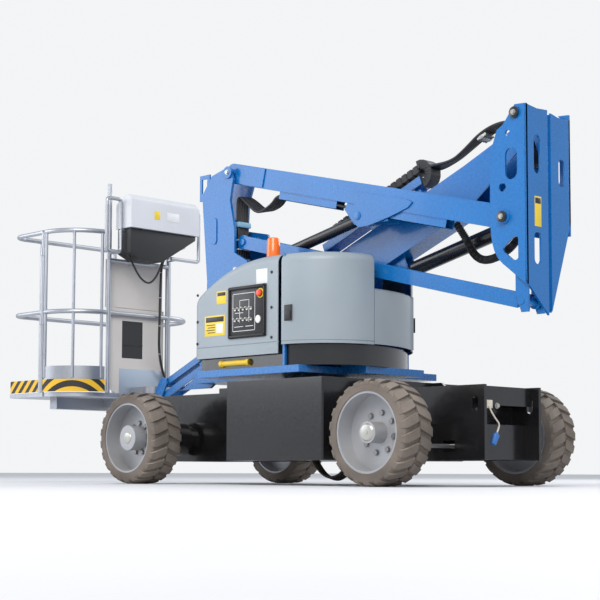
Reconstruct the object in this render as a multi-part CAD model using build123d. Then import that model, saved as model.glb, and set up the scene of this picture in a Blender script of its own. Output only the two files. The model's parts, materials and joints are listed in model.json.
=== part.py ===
from build123d import *
import math
import os

# Compact electric boom lift on wheels, built from a few driving dimensions in millimetres
# X runs towards the platform, Y to the machine's left and Z up, with the wheels standing on Z = 0
# Everything is laid out from the point midway between the axles and shifted to the footprint's centre at the end

# Driving dimensions of the chassis and its wheels
WHEELBASE = 2000.0
OVERALL_WIDTH = 1470.0
TYRE_R = 280.0
TYRE_W = 222.0
RIM_R = 214.0
CHASSIS_BOTTOM = 140.0
CHASSIS_TOP = 590.0
NOSE_X = 700.0
NOSE_TOP = 560.0
FRAME_HALF = 245.0
FRAME_END_X = -1386.0
BOX_HALF = 600.0
BOX_X = (-555.0, 235.0)
KINGPIN_Y = 452.0
STEER_ARM = 150.0

# Driving dimensions of the turntable and its covers
SWING_X = 100.0
BASE_Z = (628.0, 668.0)
HOOD_HALF = 620.0
HOOD_FRONT_X = 510.0
HOOD_REAR_X = -610.0
HOOD_TOP = 1300.0
HOOD_BOTTOM = 790.0
SEAM_X = -235.0
SEAM_HALF = 14.0
SLOT_Y = (-235.0, 245.0)
NEAR_CORNER_R = 370.0
FAR_CORNER_R = 862.0

# Pivots of the secondary linkage, a parallelogram in the plane Y = LINK_Y
LINK_Y = 110.0
ARM_FOOT = (670.0, 1951.0)
ARM_VECTOR = (-2155.0, -545.0)
LINK_END = (-1580.0, 958.0)
ARM_END = (ARM_FOOT[0] + ARM_VECTOR[0], ARM_FOOT[1] + ARM_VECTOR[1])
LINK_FOOT = (LINK_END[0] - ARM_VECTOR[0], LINK_END[1] - ARM_VECTOR[1])
ARM_DEEP = 125.0
ARM_WIDE = 120.0
LINK_DEEP = 80.0
LINK_BARS = (54.0, 154.0)
LINK_THICK = 12.0
LIFT_FOOT = (600.0, 1330.0)
LIFT_EYE = (-420.0, 1545.0)

# Upright that joins the secondary linkage to the primary boom
UPRIGHT_HALF = 194.0
UPRIGHT_BACK = -1631.0
PLATE = 12.0

# Primary boom, its sliding section and its lift cylinder
BOOM_Y = -80.0
BOOM_PIVOT = (-1560.0, 1948.0)
BOOM_SLOPE = 21.9
BOOM_DROP = 98.0
BOOM_DEEP = 240.0
BOOM_WIDE = 150.0
BOOM_START = 560.0
BOOM_END = 2040.0
BOOM_WALL = 8.0
FLY_DEEP = 190.0
FLY_WIDE = 110.0
FLY_END = 2150.0
BOOM_LIFT_FOOT = (-1480.0, 1445.0)
BOOM_LIFT_PLACE = (1183.0, -298.0)

# Jib, a second parallelogram in the boom's plane, and the platform it carries
JIB_FOOT = (495.0, 1130.0)
JIB_VECTOR = (1065.0, -455.0)
JIB_END = (JIB_FOOT[0] + JIB_VECTOR[0], JIB_FOOT[1] + JIB_VECTOR[1])
JIB_LINK_FOOT = (535.0, 1030.0)
JIB_LINK_END = (JIB_LINK_FOOT[0] + JIB_VECTOR[0], JIB_LINK_FOOT[1] + JIB_VECTOR[1])
JIB_LIFT_FOOT = (600.0, 905.0)
JIB_LIFT_EYE = (1180.0, 775.0)
JIB_DEEP = 42.0
PLATFORM_Y = BOOM_Y
PLATFORM_X = (1930.0, 2650.0)
PLATFORM_HALF = 585.0
PANEL_HALF = 270.0
FLOOR_Z = 612.0
RAIL_Z = 1722.0
MID_RAIL_Z = 1165.0
RAIL_R = 16.0
ROTATOR_X = 1750.0

PIN_GAP = 0.05
PIECES = {}


def rect(x, y, z):
    """A box from three spans."""
    size = (x[1] - x[0], y[1] - y[0], z[1] - z[0])
    centre = ((x[0] + x[1]) / 2, (y[0] + y[1]) / 2, (z[0] + z[1]) / 2)
    return Pos(*centre) * Box(*size)


def across(x, z, r, y0, y1):
    """A round bar along Y."""
    return Pos(x, (y0 + y1) / 2, z) * Rot(90, 0, 0) * Cylinder(r, abs(y1 - y0))


def upright_bar(x, y, r, z0, z1):
    """A round bar along Z."""
    return Pos(x, y, (z0 + z1) / 2) * Cylinder(r, z1 - z0)


def along(y, z, r, x0, x1):
    """A round bar along X."""
    return Pos((x0 + x1) / 2, y, z) * Rot(0, 90, 0) * Cylinder(r, abs(x1 - x0))


def side_plate(points, y0, y1, fillet_r=0.0):
    """A plate with an outline in X and Z, between two Y planes."""
    face = make_face(Polyline([(x, z) for x, z in points], close=True))
    if fillet_r:
        face = fillet(face.vertices(), fillet_r)
    solid = extrude(face, abs(y1 - y0))
    return Pos(0, max(y0, y1), 0) * Rot(90, 0, 0) * solid


def bar_xz(start, end, deep, y0, y1, before=0.0, after=0.0):
    """A straight bar of rectangular section from one point to another in X and Z."""
    length = math.dist(start, end)
    angle = math.degrees(math.atan2(end[1] - start[1], end[0] - start[0]))
    block = rect((-before, length + after), (y0, y1), (-deep / 2, deep / 2))
    return Pos(start[0], 0, start[1]) * Rot(0, -angle, 0) * block


def on_line(start, end, distance):
    """The point at a distance from start towards end in X and Z."""
    length = math.dist(start, end)
    return tuple(a + (b - a) * distance / length for a, b in zip(start, end))


def rod_xz(start, end, r, y, from_start, to):
    """A round bar along the line between two points in X and Z."""
    a = on_line(start, end, from_start)
    b = on_line(start, end, to)
    angle = math.degrees(math.atan2(b[1] - a[1], b[0] - a[0]))
    bar = Pos(math.dist(a, b) / 2, 0, 0) * Rot(0, 90, 0) * Cylinder(r, math.dist(a, b))
    return Pos(a[0], y, a[1]) * Rot(0, -angle, 0) * bar


def pipe(points, r, bend):
    """A round tube along straight runs joined by tangent arcs."""
    path = FilletPolyline(*points, radius=bend)
    section = Plane(origin=path @ 0, z_dir=path % 0) * Circle(r)
    return sweep(section, path)


def keep(name, solid):
    """Hold a piece under its node's name."""
    PIECES[name] = solid


# Chassis
DRIVE_X = WHEELBASE / 2
STEER_X = -WHEELBASE / 2
WHEEL_Y = OVERALL_WIDTH / 2 - TYRE_W / 2
FRAME_WALL = 14.0
SIDE_TOP_END = 535.0


def chassis_frame():
    """Narrow welded box that carries both axles and the slew ring."""
    spine = rect((-640, 1240), (-FRAME_HALF, FRAME_HALF), (CHASSIS_BOTTOM, CHASSIS_TOP))
    spine -= rect((-620, 1220), (-FRAME_HALF + FRAME_WALL, FRAME_HALF - FRAME_WALL), (CHASSIS_BOTTOM - 5, CHASSIS_TOP - 16))
    spine -= across(DRIVE_X, TYRE_R, 80, -FRAME_HALF - 5, FRAME_HALF + 5)
    spine -= rect((NOSE_X, 1300), (-FRAME_HALF - 5, FRAME_HALF + 5), (NOSE_TOP, CHASSIS_TOP + 5))
    spine += rect((NOSE_X - 16, 1240), (-FRAME_HALF, FRAME_HALF), (NOSE_TOP - 16, NOSE_TOP))
    ring = upright_bar(SWING_X, 0, 205, CHASSIS_TOP, CHASSIS_TOP + 16)
    return spine + ring


def steer_frame():
    """Two side plates with a cross panel behind the steered axle."""
    outline = [(FRAME_END_X, CHASSIS_BOTTOM), (-640, CHASSIS_BOTTOM), (-640, CHASSIS_TOP),
               (-700, CHASSIS_TOP), (-760, SIDE_TOP_END), (FRAME_END_X, SIDE_TOP_END)]
    frame = None
    for y in (-FRAME_HALF, FRAME_HALF - 20):
        plate = side_plate(outline, y, y + 20)
        slot = rect((-1345, -1305), (y - 5, y + 25), (415, 455))
        slot += across(-1325, 455, 20, y - 5, y + 25) + across(-1325, 415, 20, y - 5, y + 25)
        plate -= slot
        plate -= rect((STEER_X - 55, STEER_X + 55), (y - 5, y + 25), (TYRE_R - 55, TYRE_R + 55))
        plate -= rect((STEER_X - STEER_ARM - 35, STEER_X - STEER_ARM + 50), (y - 5, y + 25), (185, 245))
        frame = plate if frame is None else frame + plate
    inner = FRAME_HALF - 20
    frame += rect((-1340, -1328), (-inner, inner), (430, SIDE_TOP_END - 4))
    frame += rect((-1300, -1288), (-inner, inner), (CHASSIS_BOTTOM + 4, 330))
    frame += rect((-1200, -1188), (-inner, inner), (CHASSIS_BOTTOM + 4, 480))
    frame += rect((-1340, -1188), (-inner, inner), (474, 486))
    frame += rect((-1300, -1188), (-inner, inner), (CHASSIS_BOTTOM + 4, CHASSIS_BOTTOM + 16))
    frame += rect((-760, -748), (-inner, inner), (CHASSIS_BOTTOM + 4, SIDE_TOP_END))
    return frame


def battery_box(side):
    """Closed box of batteries that hangs between the wheels."""
    y = (FRAME_HALF, BOX_HALF)
    box = rect(BOX_X, y, (CHASSIS_BOTTOM, CHASSIS_TOP + 6))
    box = chamfer(box.edges().filter_by(Axis.Z), 8)
    return box if side > 0 else mirror(box, Plane.XZ)


def drive_axle():
    """Cross tube with a wheel motor at each end."""
    tube = across(DRIVE_X, TYRE_R, 80, -FRAME_HALF - 60, FRAME_HALF + 60)
    for side in (-1, 1):
        tube += across(DRIVE_X, TYRE_R, 105, side * (FRAME_HALF + 50), side * 470)
        tube += across(DRIVE_X, TYRE_R, 50 - PIN_GAP, side * 470, side * 690)
    return tube


def steer_axle():
    """Beam across the frame with a forked eye at each end for its kingpin."""
    beam = rect((STEER_X - 55, STEER_X + 55), (-KINGPIN_Y + 95, KINGPIN_Y - 95), (TYRE_R - 55, TYRE_R + 55))
    for side in (-1, 1):
        y = sorted((side * (KINGPIN_Y - 100), side * (KINGPIN_Y + 40)))
        for z in (TYRE_R - 95, TYRE_R + 65):
            beam += rect((STEER_X - 45, STEER_X + 45), y, (z, z + 30))
        web = sorted((side * (KINGPIN_Y - 100), side * (KINGPIN_Y - 72)))
        beam += rect((STEER_X - 45, STEER_X + 45), web, (TYRE_R - 95, TYRE_R + 95))
        beam -= upright_bar(STEER_X, side * KINGPIN_Y, 20, TYRE_R - 100, TYRE_R + 100)
    return beam


def knuckle(side):
    """Kingpin, stub axle and track arm of one steered wheel."""
    y = side * KINGPIN_Y
    body = upright_bar(STEER_X, y, 20 - PIN_GAP, TYRE_R - 105, TYRE_R + 105)
    body += upright_bar(STEER_X, y, 38, TYRE_R - 58, TYRE_R + 58)
    body += across(STEER_X, TYRE_R, 40, y, side * 525)
    body += across(STEER_X, TYRE_R, 30 - PIN_GAP, side * 520, side * 690)
    arm_y = sorted((y - 22, y + 22))
    body += rect((STEER_X - STEER_ARM, STEER_X), arm_y, (TYRE_R - 52, TYRE_R - 30))
    body += upright_bar(STEER_X - STEER_ARM, y, 22, TYRE_R - 52, TYRE_R - 30)
    body -= upright_bar(STEER_X - STEER_ARM, y, 9, TYRE_R - 60, TYRE_R - 20)
    return body


def tie_rod():
    """Rod that keeps both steered wheels parallel."""
    z = TYRE_R - 66
    x = STEER_X - STEER_ARM
    rod = across(x, z, 11, -KINGPIN_Y, KINGPIN_Y)
    for side in (-1, 1):
        rod += upright_bar(x, side * KINGPIN_Y, 20, z - 12, z + 12)
    rod += upright_bar(x, KINGPIN_Y, 9 - PIN_GAP, z, TYRE_R - 26)
    return rod


def tyre(x, side):
    """Solid tyre, open in the middle, on the rim's outside."""
    y = side * WHEEL_Y
    half = TYRE_W / 2
    ring = across(x, TYRE_R, TYRE_R, y - half, y + half)
    ring = chamfer(ring.edges().filter_by(GeomType.CIRCLE), 14)
    return ring - across(x, TYRE_R, RIM_R, y - half - 5, y + half + 5)


def rim(x, side, bore_r):
    """Dished rim with its hub."""
    outer = side * (WHEEL_Y + TYRE_W / 2 - 6)
    inner = side * (WHEEL_Y - TYRE_W / 2 + 6)
    ring = across(x, TYRE_R, RIM_R, inner, outer)
    ring -= across(x, TYRE_R, RIM_R - 12, inner - side * 5, outer + side * 5)
    disc_y = side * (WHEEL_Y + 5)
    ring += across(x, TYRE_R, RIM_R - 6, disc_y - side * 12, disc_y)
    hub_end = side * (OVERALL_WIDTH / 2 - 12)
    ring += across(x, TYRE_R, bore_r + 26, side * 540, hub_end)
    return ring - across(x, TYRE_R, bore_r, side * 530, side * 692)


keep("chassis_frame", chassis_frame())
keep("steer_frame", steer_frame())
keep("drive_axle", drive_axle())
keep("steer_axle", steer_axle())
keep("tie_rod", tie_rod())
for name, side in (("left", 1), ("right", -1)):
    keep("battery_box_" + name, battery_box(side))
    keep("knuckle_" + name, knuckle(side))
    keep("drive_tyre_" + name, tyre(DRIVE_X, side))
    keep("drive_rim_" + name, rim(DRIVE_X, side, 50.0))
    keep("steer_tyre_" + name, tyre(STEER_X, side))
    keep("steer_rim_" + name, rim(STEER_X, side, 30.0))

# Turntable and covers
WALL = 6.0
REAR_SHELF = 1070.0


def hood_plan(inset=0.0):
    """Plan of all covers together, rounded at the tail."""
    near = HOOD_HALF - inset
    rear = HOOD_REAR_X + inset
    front = HOOD_FRONT_X - inset
    face = make_face(Polyline((rear, -near), (front, -near), (front, near), (rear, near), close=True))
    tail = face.vertices().sort_by(Axis.X)[0:2].sort_by(Axis.Y)
    face = fillet(tail[1], NEAR_CORNER_R - inset)
    tail = face.vertices().sort_by(Axis.Y)[0:2].sort_by(Axis.X)
    return fillet(tail[0], FAR_CORNER_R - inset)


def shell(z0, z1):
    """Closed skin between two heights with an open bottom."""
    outer = Pos(0, 0, z0) * extrude(hood_plan(), z1 - z0)
    inner = Pos(0, 0, z0 - 1) * extrude(hood_plan(WALL), z1 - z0 + 1 - WALL)
    return outer - inner


def cover(side, x):
    """One cover, cut from the shell by its span in X and the boom slot."""
    skin = shell(HOOD_BOTTOM, HOOD_TOP)
    y = (SLOT_Y[1], HOOD_HALF + 5) if side > 0 else (-HOOD_HALF - 5, SLOT_Y[0])
    return skin & rect(x, y, (HOOD_BOTTOM - 10, HOOD_TOP + 10))


TAIL_HINGE_X = SEAM_X - SEAM_HALF - 7
FAR_EDGE_Y = -HOOD_HALF + FAR_CORNER_R - math.sqrt(FAR_CORNER_R ** 2 - (HOOD_REAR_X + FAR_CORNER_R - TAIL_HINGE_X) ** 2)
TAIL_HINGE_LEFT = (TAIL_HINGE_X, HOOD_HALF - 20)
TAIL_HINGE_RIGHT = (TAIL_HINGE_X, FAR_EDGE_Y + 24)


def turntable_base():
    """Base plate that turns on the slew ring, with upright webs beside the boom slot."""
    base = upright_bar(SWING_X, 0, 190, CHASSIS_TOP + 16.3, BASE_Z[0])
    base += rect((-560, 560), (-235, 260), BASE_Z)
    base += rect((520, 900), (10, 260), BASE_Z)
    base += rect((-380, 480), (-560, 610), BASE_Z)
    nose = [(860, BASE_Z[0]), (860, BASE_Z[1]), (1025, 690), (1170, 604), (900, 604)]
    base += side_plate(nose, 130, 150)
    for y in (SLOT_Y[0] - 14, SLOT_Y[1]):
        base += rect((SEAM_X + SEAM_HALF, 470), (y, y + 14), (BASE_Z[1], HOOD_TOP - WALL))
        base += rect((-560 if y > 0 else -375, SEAM_X), (y, y + 14), (BASE_Z[0], 1040))
    for x, y in (TAIL_HINGE_LEFT, TAIL_HINGE_RIGHT):
        base += rect((x - 8, x + 8), (y - 8, y + 8), (BASE_Z[1], HOOD_TOP - 12))
        base += upright_bar(x, y, 5, HOOD_TOP - 12, HOOD_TOP)
    return base


def riser():
    """Tower of two plates that holds the foot of the secondary linkage."""
    near = [(560, BASE_Z[1]), (895, BASE_Z[1]), (867, 1276), (921, 1836), (830, 1950), (715, 1978),
            (655, 1975), (629, 1902), (656, 1775), (611, 1580), (610, 1436), (494, 1375), (480, 1300)]
    far = [(560, BASE_Z[1]), (895, BASE_Z[1]), (867, 1276), (900, 1836), (830, 1950), (715, 1978),
           (655, 1975), (629, 1902), (680, 1775), (690, 1600), (500, 1560), (470, 1500), (480, 1300)]
    tower = side_plate(near, 189, 207)
    tower += side_plate(far, 12, 28)
    tower += rect((845, 861), (28, 189), (BASE_Z[1], 1700))
    tower += across(LINK_FOOT[0], LINK_FOOT[1], 20 - PIN_GAP, 20, 176)
    tower += across(ARM_FOOT[0], ARM_FOOT[1], 25 - PIN_GAP, 20, 200)
    tower += across(ARM_FOOT[0], ARM_FOOT[1], 38, 207, 219)
    eye = rect((850, 945), (196, 207), (1800, 1965)) - rect((875, 925), (190, 210), (1850, 1940))
    foot = [(540, 1290), (860, 1290), (860, 1400), (620, 1370), (580, 1365)]
    for y0 in (LINK_Y - 35, LINK_Y + 25):
        tower += side_plate(foot, y0, y0 + 10)
    tower += rect((700, 716), (28, 189), (BASE_Z[1], 1380))
    return tower + eye


def tail_cover(side, hinge):
    """Cover behind the seam, which swings out on the pin in its top."""
    skin = cover(side, (HOOD_REAR_X - 5, SEAM_X - SEAM_HALF))
    return skin - upright_bar(*hinge, 5 + PIN_GAP, HOOD_TOP - 20, HOOD_TOP + 5)


def beacon():
    """Round flashing lamp on the left cover."""
    return upright_bar(300, 300, 42, HOOD_TOP, HOOD_TOP + 90) + upright_bar(300, 300, 30, HOOD_TOP + 90, HOOD_TOP + 105)


keep("turntable_base", turntable_base())
keep("riser", riser())
keep("front_cover_left", cover(1, (SEAM_X + SEAM_HALF, HOOD_FRONT_X + 5)))
keep("front_cover_right", cover(-1, (SEAM_X + SEAM_HALF, HOOD_FRONT_X + 5)))
keep("tail_cover_left", tail_cover(1, TAIL_HINGE_LEFT))
keep("tail_cover_right", tail_cover(-1, TAIL_HINGE_RIGHT))
keep("beacon", beacon())

# Secondary linkage
EYE_R = 62.0


def secondary_arm():
    """Box arm from the riser to the upright, with a bracket for its lift cylinder."""
    y = (LINK_Y - ARM_WIDE / 2, LINK_Y + ARM_WIDE / 2)
    arm = bar_xz(ARM_FOOT, ARM_END, ARM_DEEP, *y)
    hollow = (y[0] + 8, y[1] - 8)
    arm -= bar_xz(ARM_FOOT, ARM_END, ARM_DEEP - 16, *hollow, before=-70, after=-70)
    for end in (ARM_FOOT, ARM_END):
        arm += across(end[0], end[1], EYE_R, *y)
        arm -= across(end[0], end[1], 25, y[0] - 5, y[1] + 5)
    ears = [(-330, 1640), (-300, 1600), (-380, 1500), (-450, 1500), (-640, 1490), (-640, 1560)]
    for y0 in (LINK_Y - 55, LINK_Y + 43):
        arm += side_plate(ears, y0, y0 + 12)
    return arm


def lower_link():
    """Two side bars of the parallelogram with cross pieces near the upright."""
    link = None
    for y0 in LINK_BARS:
        bar = bar_xz(LINK_FOOT, LINK_END, LINK_DEEP, y0, y0 + LINK_THICK, after=-30)
        for end, eye_r in ((LINK_FOOT, 46), (LINK_END, 34)):
            bar += across(end[0], end[1], eye_r, y0, y0 + LINK_THICK)
            bar -= across(end[0], end[1], 20, y0 - 5, y0 + LINK_THICK + 5)
        link = bar if link is None else link + bar
    for distance in (1150, 1650, 2080):
        place = on_line(LINK_FOOT, LINK_END, distance)
        link += across(*place, 24, LINK_BARS[0] + 2, LINK_BARS[1] + 10)
    return link


def upright():
    """Channel with its open side to the platform, pinned to both booms."""
    outline = [(UPRIGHT_BACK, 1034), (UPRIGHT_BACK, 1987), (-1558, 1992), (-1479, 1895), (-1440, 1874),
               (-1398, 1763), (-1393, 1668), (-1393, 1323), (-1426, 1222), (-1472, 1165), (-1575, 1079)]
    back = (UPRIGHT_BACK, UPRIGHT_BACK + PLATE)
    body = side_plate(outline, UPRIGHT_HALF - PLATE, UPRIGHT_HALF)
    body += side_plate(outline, -UPRIGHT_HALF, -UPRIGHT_HALF + PLATE)
    body += rect(back, (-UPRIGHT_HALF, UPRIGHT_HALF), (1034, 1984))
    body += rect(back, (30, 184), (895, 1040))
    clevis = [(UPRIGHT_BACK, 895), (UPRIGHT_BACK, 1120), (-1545, 1120), (-1545, 1000), (-1580, 900)]
    for y0 in (37, 171):
        body += side_plate(clevis, y0, y0 + 10)
    body += across(LINK_END[0], LINK_END[1], 20 - PIN_GAP, 40, 184)
    body += side_plate([(UPRIGHT_BACK, 1290), (UPRIGHT_BACK, 1560), (-1430, 1480), (-1430, 1340)], 26, 36)
    body += across(ARM_END[0], ARM_END[1], 25 - PIN_GAP, 30, UPRIGHT_HALF + 22)
    body += across(ARM_END[0], ARM_END[1], 38, UPRIGHT_HALF - 2, UPRIGHT_HALF + 12)
    body += across(BOOM_PIVOT[0], BOOM_PIVOT[1], 22 - PIN_GAP, -UPRIGHT_HALF - 8, UPRIGHT_HALF + 8)
    lug = [(UPRIGHT_BACK, 1370), (UPRIGHT_BACK, 1520), (-1500, 1490), (-1445, 1480), (-1445, 1410), (-1500, 1400)]
    for y0 in (BOOM_Y - 38, BOOM_Y + 28):
        body += side_plate(lug, y0, y0 + 10)
    return body


def barrel(foot, eye, y, r, reach, eye_r=28.0, eye_w=40.0):
    """Cylinder barrel with its eye at foot, reaching towards the rod's eye."""
    body = rod_xz(foot, eye, r, y, 62, reach)
    body += across(foot[0], foot[1], eye_r, y - eye_w / 2, y + eye_w / 2)
    body += rod_xz(foot, eye, eye_r * 0.7, y, 5, 66)
    body -= across(foot[0], foot[1], 14, y - eye_w, y + eye_w)
    return body - rod_xz(foot, eye, r * 0.55 + PIN_GAP, y, 80, reach + 5)


def rod(foot, eye, y, r, tail, eye_r=28.0, eye_w=40.0):
    """Polished rod from inside the barrel to its own eye."""
    length = math.dist(foot, eye)
    body = rod_xz(foot, eye, r * 0.55, y, tail, length - 20)
    body += across(eye[0], eye[1], eye_r, y - eye_w / 2, y + eye_w / 2)
    return body - across(eye[0], eye[1], 14, y - eye_w, y + eye_w)


LIFT_R = 33.0
keep("secondary_arm", secondary_arm())
keep("lower_link", lower_link())
keep("upright", upright())
keep("lift_barrel", barrel(LIFT_EYE, LIFT_FOOT, LINK_Y, LIFT_R, 830, 28, 85.4))
keep("lift_rod", rod(LIFT_EYE, LIFT_FOOT, LINK_Y, LIFT_R, 120, 28, 49.4))

# Primary boom
BOOM_DIR = (math.cos(math.radians(BOOM_SLOPE)), -math.sin(math.radians(BOOM_SLOPE)))


def at_boom(distance, rise=0.0):
    """A point along the boom from its pivot, raised square to it."""
    x = BOOM_PIVOT[0] + BOOM_DIR[0] * distance - BOOM_DIR[1] * rise
    return (x, BOOM_PIVOT[1] + BOOM_DIR[1] * distance + BOOM_DIR[0] * rise)


HEAD_PIVOT = at_boom(FLY_END, -BOOM_DROP)
BOOM_LIFT_EYE = at_boom(*BOOM_LIFT_PLACE)


def boom_block(start, end, deep, y):
    """A straight block on the boom's axis, which runs below its pivot."""
    return bar_xz(at_boom(start, -BOOM_DROP), at_boom(end, -BOOM_DROP), deep, *y)


def primary_boom():
    """Outer section with a forked foot on the upright's top pin."""
    half = BOOM_WIDE / 2
    y = (BOOM_Y - half, BOOM_Y + half)
    inner = half - BOOM_WALL
    tube = boom_block(BOOM_START, BOOM_END, BOOM_DEEP, y)
    tube -= boom_block(BOOM_START - 5, BOOM_END + 5, BOOM_DEEP - 2 * BOOM_WALL, (BOOM_Y - inner, BOOM_Y + inner))
    top = BOOM_DEEP / 2 - BOOM_DROP
    foot = [at_boom(-10, 36), at_boom(60, 40), at_boom(BOOM_START + 40, top - 2),
            at_boom(BOOM_START + 40, top + 2 - BOOM_DEEP), at_boom(100, -70), at_boom(-10, -36)]
    for y0 in (y[0], y[1] - BOOM_WALL):
        tube += side_plate(foot, y0, y0 + BOOM_WALL)
    tube += across(*BOOM_PIVOT, 40, *y)
    place, drop = BOOM_LIFT_PLACE
    under = top - BOOM_DEEP + 2
    lug = [at_boom(place - 40, under), at_boom(place - 30, drop - 28), at_boom(place + 30, drop - 28),
           at_boom(place + 150, under)]
    for y0 in (BOOM_Y - 40, BOOM_Y + 30):
        tube += side_plate(lug, y0, y0 + 10)
    pads = boom_block(BOOM_END - 90, BOOM_END - 10, BOOM_DEEP - 14, (BOOM_Y - inner - 1, BOOM_Y + inner + 1))
    pads -= boom_block(BOOM_END - 100, BOOM_END, FLY_DEEP + 0.6, (BOOM_Y - FLY_WIDE / 2 - 0.3, BOOM_Y + FLY_WIDE / 2 + 0.3))
    return tube + pads - across(*BOOM_PIVOT, 22, y[0] - 5, y[1] + 5)


def fly_boom():
    """Sliding section inside the boom, ending in the head's pin."""
    y = (BOOM_Y - FLY_WIDE / 2, BOOM_Y + FLY_WIDE / 2)
    tube = boom_block(BOOM_START + 60, FLY_END - 60, FLY_DEEP, y)
    tube -= boom_block(BOOM_START + 50, FLY_END - 75, FLY_DEEP - 14, (y[0] + 7, y[1] - 7))
    nose = [at_boom(FLY_END - 62, 60 - BOOM_DROP), at_boom(FLY_END, 34 - BOOM_DROP),
            at_boom(FLY_END, -34 - BOOM_DROP), at_boom(FLY_END - 62, -60 - BOOM_DROP)]
    tube += side_plate(nose, BOOM_Y - 50, BOOM_Y + 50)
    tube += across(*HEAD_PIVOT, 34, BOOM_Y - 50, BOOM_Y + 50)
    return tube + across(*HEAD_PIVOT, 20 - PIN_GAP, BOOM_Y - 76, BOOM_Y + 76)


keep("primary_boom", primary_boom())
keep("fly_boom", fly_boom())
keep("boom_barrel", barrel(BOOM_LIFT_EYE, BOOM_LIFT_FOOT, BOOM_Y, 43, 740, 28, 59.4))
keep("boom_rod", rod(BOOM_LIFT_EYE, BOOM_LIFT_FOOT, BOOM_Y, 43, 120, 28, 55.4))


# Jib
def jib_head():
    """Two plates on the sliding section's nose with both jib feet."""
    outline = [(HEAD_PIVOT[0] - 32, HEAD_PIVOT[1] + 10), (HEAD_PIVOT[0] + 10, HEAD_PIVOT[1] + 80), (470, 1165),
               (510, 1165), (575, 1060), (585, 1000), (640, 905), (610, 868), (560, 880), (HEAD_PIVOT[0], HEAD_PIVOT[1] - 32)]
    head = None
    for y0 in (BOOM_Y - 70, BOOM_Y + 58):
        plate = side_plate(outline, y0, y0 + 12)
        plate -= across(*HEAD_PIVOT, 20, y0 - 5, y0 + 17)
        head = plate if head is None else head + plate
    for place, r in ((JIB_FOOT, 20), (JIB_LINK_FOOT, 16)):
        head += across(*place, r - PIN_GAP, BOOM_Y - 62, BOOM_Y + 62)
    return head


def jib_arm():
    """Upper arm of the jib."""
    y = (BOOM_Y - 50, BOOM_Y + 50)
    arm = bar_xz(JIB_FOOT, JIB_END, JIB_DEEP, *y)
    arm -= bar_xz(JIB_FOOT, JIB_END, JIB_DEEP - 12, y[0] + 6, y[1] - 6, before=-60, after=-60)
    for end in (JIB_FOOT, JIB_END):
        arm += across(*end, 32, *y)
        arm -= across(*end, 20, y[0] - 5, y[1] + 5)
    eye = JIB_LIFT_EYE
    ears = [(eye[0] - 60, eye[1] + 84), (eye[0] - 20, eye[1] - 20), (eye[0] + 20, eye[1] - 20),
            (eye[0] + 60, eye[1] + 34)]
    for y0 in (BOOM_Y - 40, BOOM_Y + 31):
        arm += side_plate(ears, y0, y0 + 9)
    return arm


def jib_link():
    """Two lower bars of the jib's parallelogram."""
    link = None
    for y0 in (BOOM_Y - 54, BOOM_Y + 44):
        bar = bar_xz(JIB_LINK_FOOT, JIB_LINK_END, 46, y0, y0 + 10)
        for end in (JIB_LINK_FOOT, JIB_LINK_END):
            bar += across(*end, 27, y0, y0 + 10)
            bar -= across(*end, 16, y0 - 5, y0 + 15)
        link = bar if link is None else link + bar
    return link + across(*on_line(JIB_LINK_FOOT, JIB_LINK_END, 1000), 18, BOOM_Y - 50, BOOM_Y + 50)


def support():
    """Bracket at the jib's end with the platform's rotator on it."""
    outline = [(1528, 668), (1580, 575), (1606, 547), (1645, 524), (1690, 505), (1690, 598), (1650, 610), (1605, 690),
               (1575, 708), (1545, 706)]
    body = None
    for y0 in (BOOM_Y - 70, BOOM_Y + 58):
        plate = side_plate(outline, y0, y0 + 12)
        body = plate if body is None else body + plate
    for place, r in ((JIB_END, 20), (JIB_LINK_END, 16)):
        body += across(*place, r - PIN_GAP, BOOM_Y - 62, BOOM_Y + 62)
    body += rect((1645, 1730), (BOOM_Y - 59, BOOM_Y + 59), (505, 598))
    return body + upright_bar(ROTATOR_X, BOOM_Y, 62, 500, 600)


keep("jib_head", jib_head())
keep("jib_arm", jib_arm())
keep("jib_link", jib_link())
keep("jib_barrel", barrel(JIB_LIFT_FOOT, JIB_LIFT_EYE, BOOM_Y, 26, 500, 22, 115.4))
keep("jib_rod", rod(JIB_LIFT_FOOT, JIB_LIFT_EYE, BOOM_Y, 26, 120, 22, 61.4))
keep("support", support())

# Platform
NEAR_SIDE = PLATFORM_Y + PLATFORM_HALF - RAIL_R
FAR_SIDE = PLATFORM_Y - PLATFORM_HALF + RAIL_R
REAR_SIDE = PLATFORM_X[0] + RAIL_R
FRONT_SIDE = PLATFORM_X[1] - RAIL_R
CORNER_R = PLATFORM_HALF - PANEL_HALF - RAIL_R
POST_A = (REAR_SIDE + CORNER_R, NEAR_SIDE)
POST_C = (REAR_SIDE, NEAR_SIDE - CORNER_R)
HINGE_POST = (POST_A[0] + 22, NEAR_SIDE)


def rail(z):
    """One rail round the platform, open at the gate and at the boom's panel."""
    corner = (FRONT_SIDE - REAR_SIDE) / 4
    near = (*HINGE_POST, z)
    points = [near, (FRONT_SIDE, NEAR_SIDE, z), (FRONT_SIDE, FAR_SIDE, z), (REAR_SIDE, FAR_SIDE, z),
              (REAR_SIDE, PLATFORM_Y - PANEL_HALF, z)]
    return pipe(points, RAIL_R, [90, 90, CORNER_R - 20])


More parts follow.
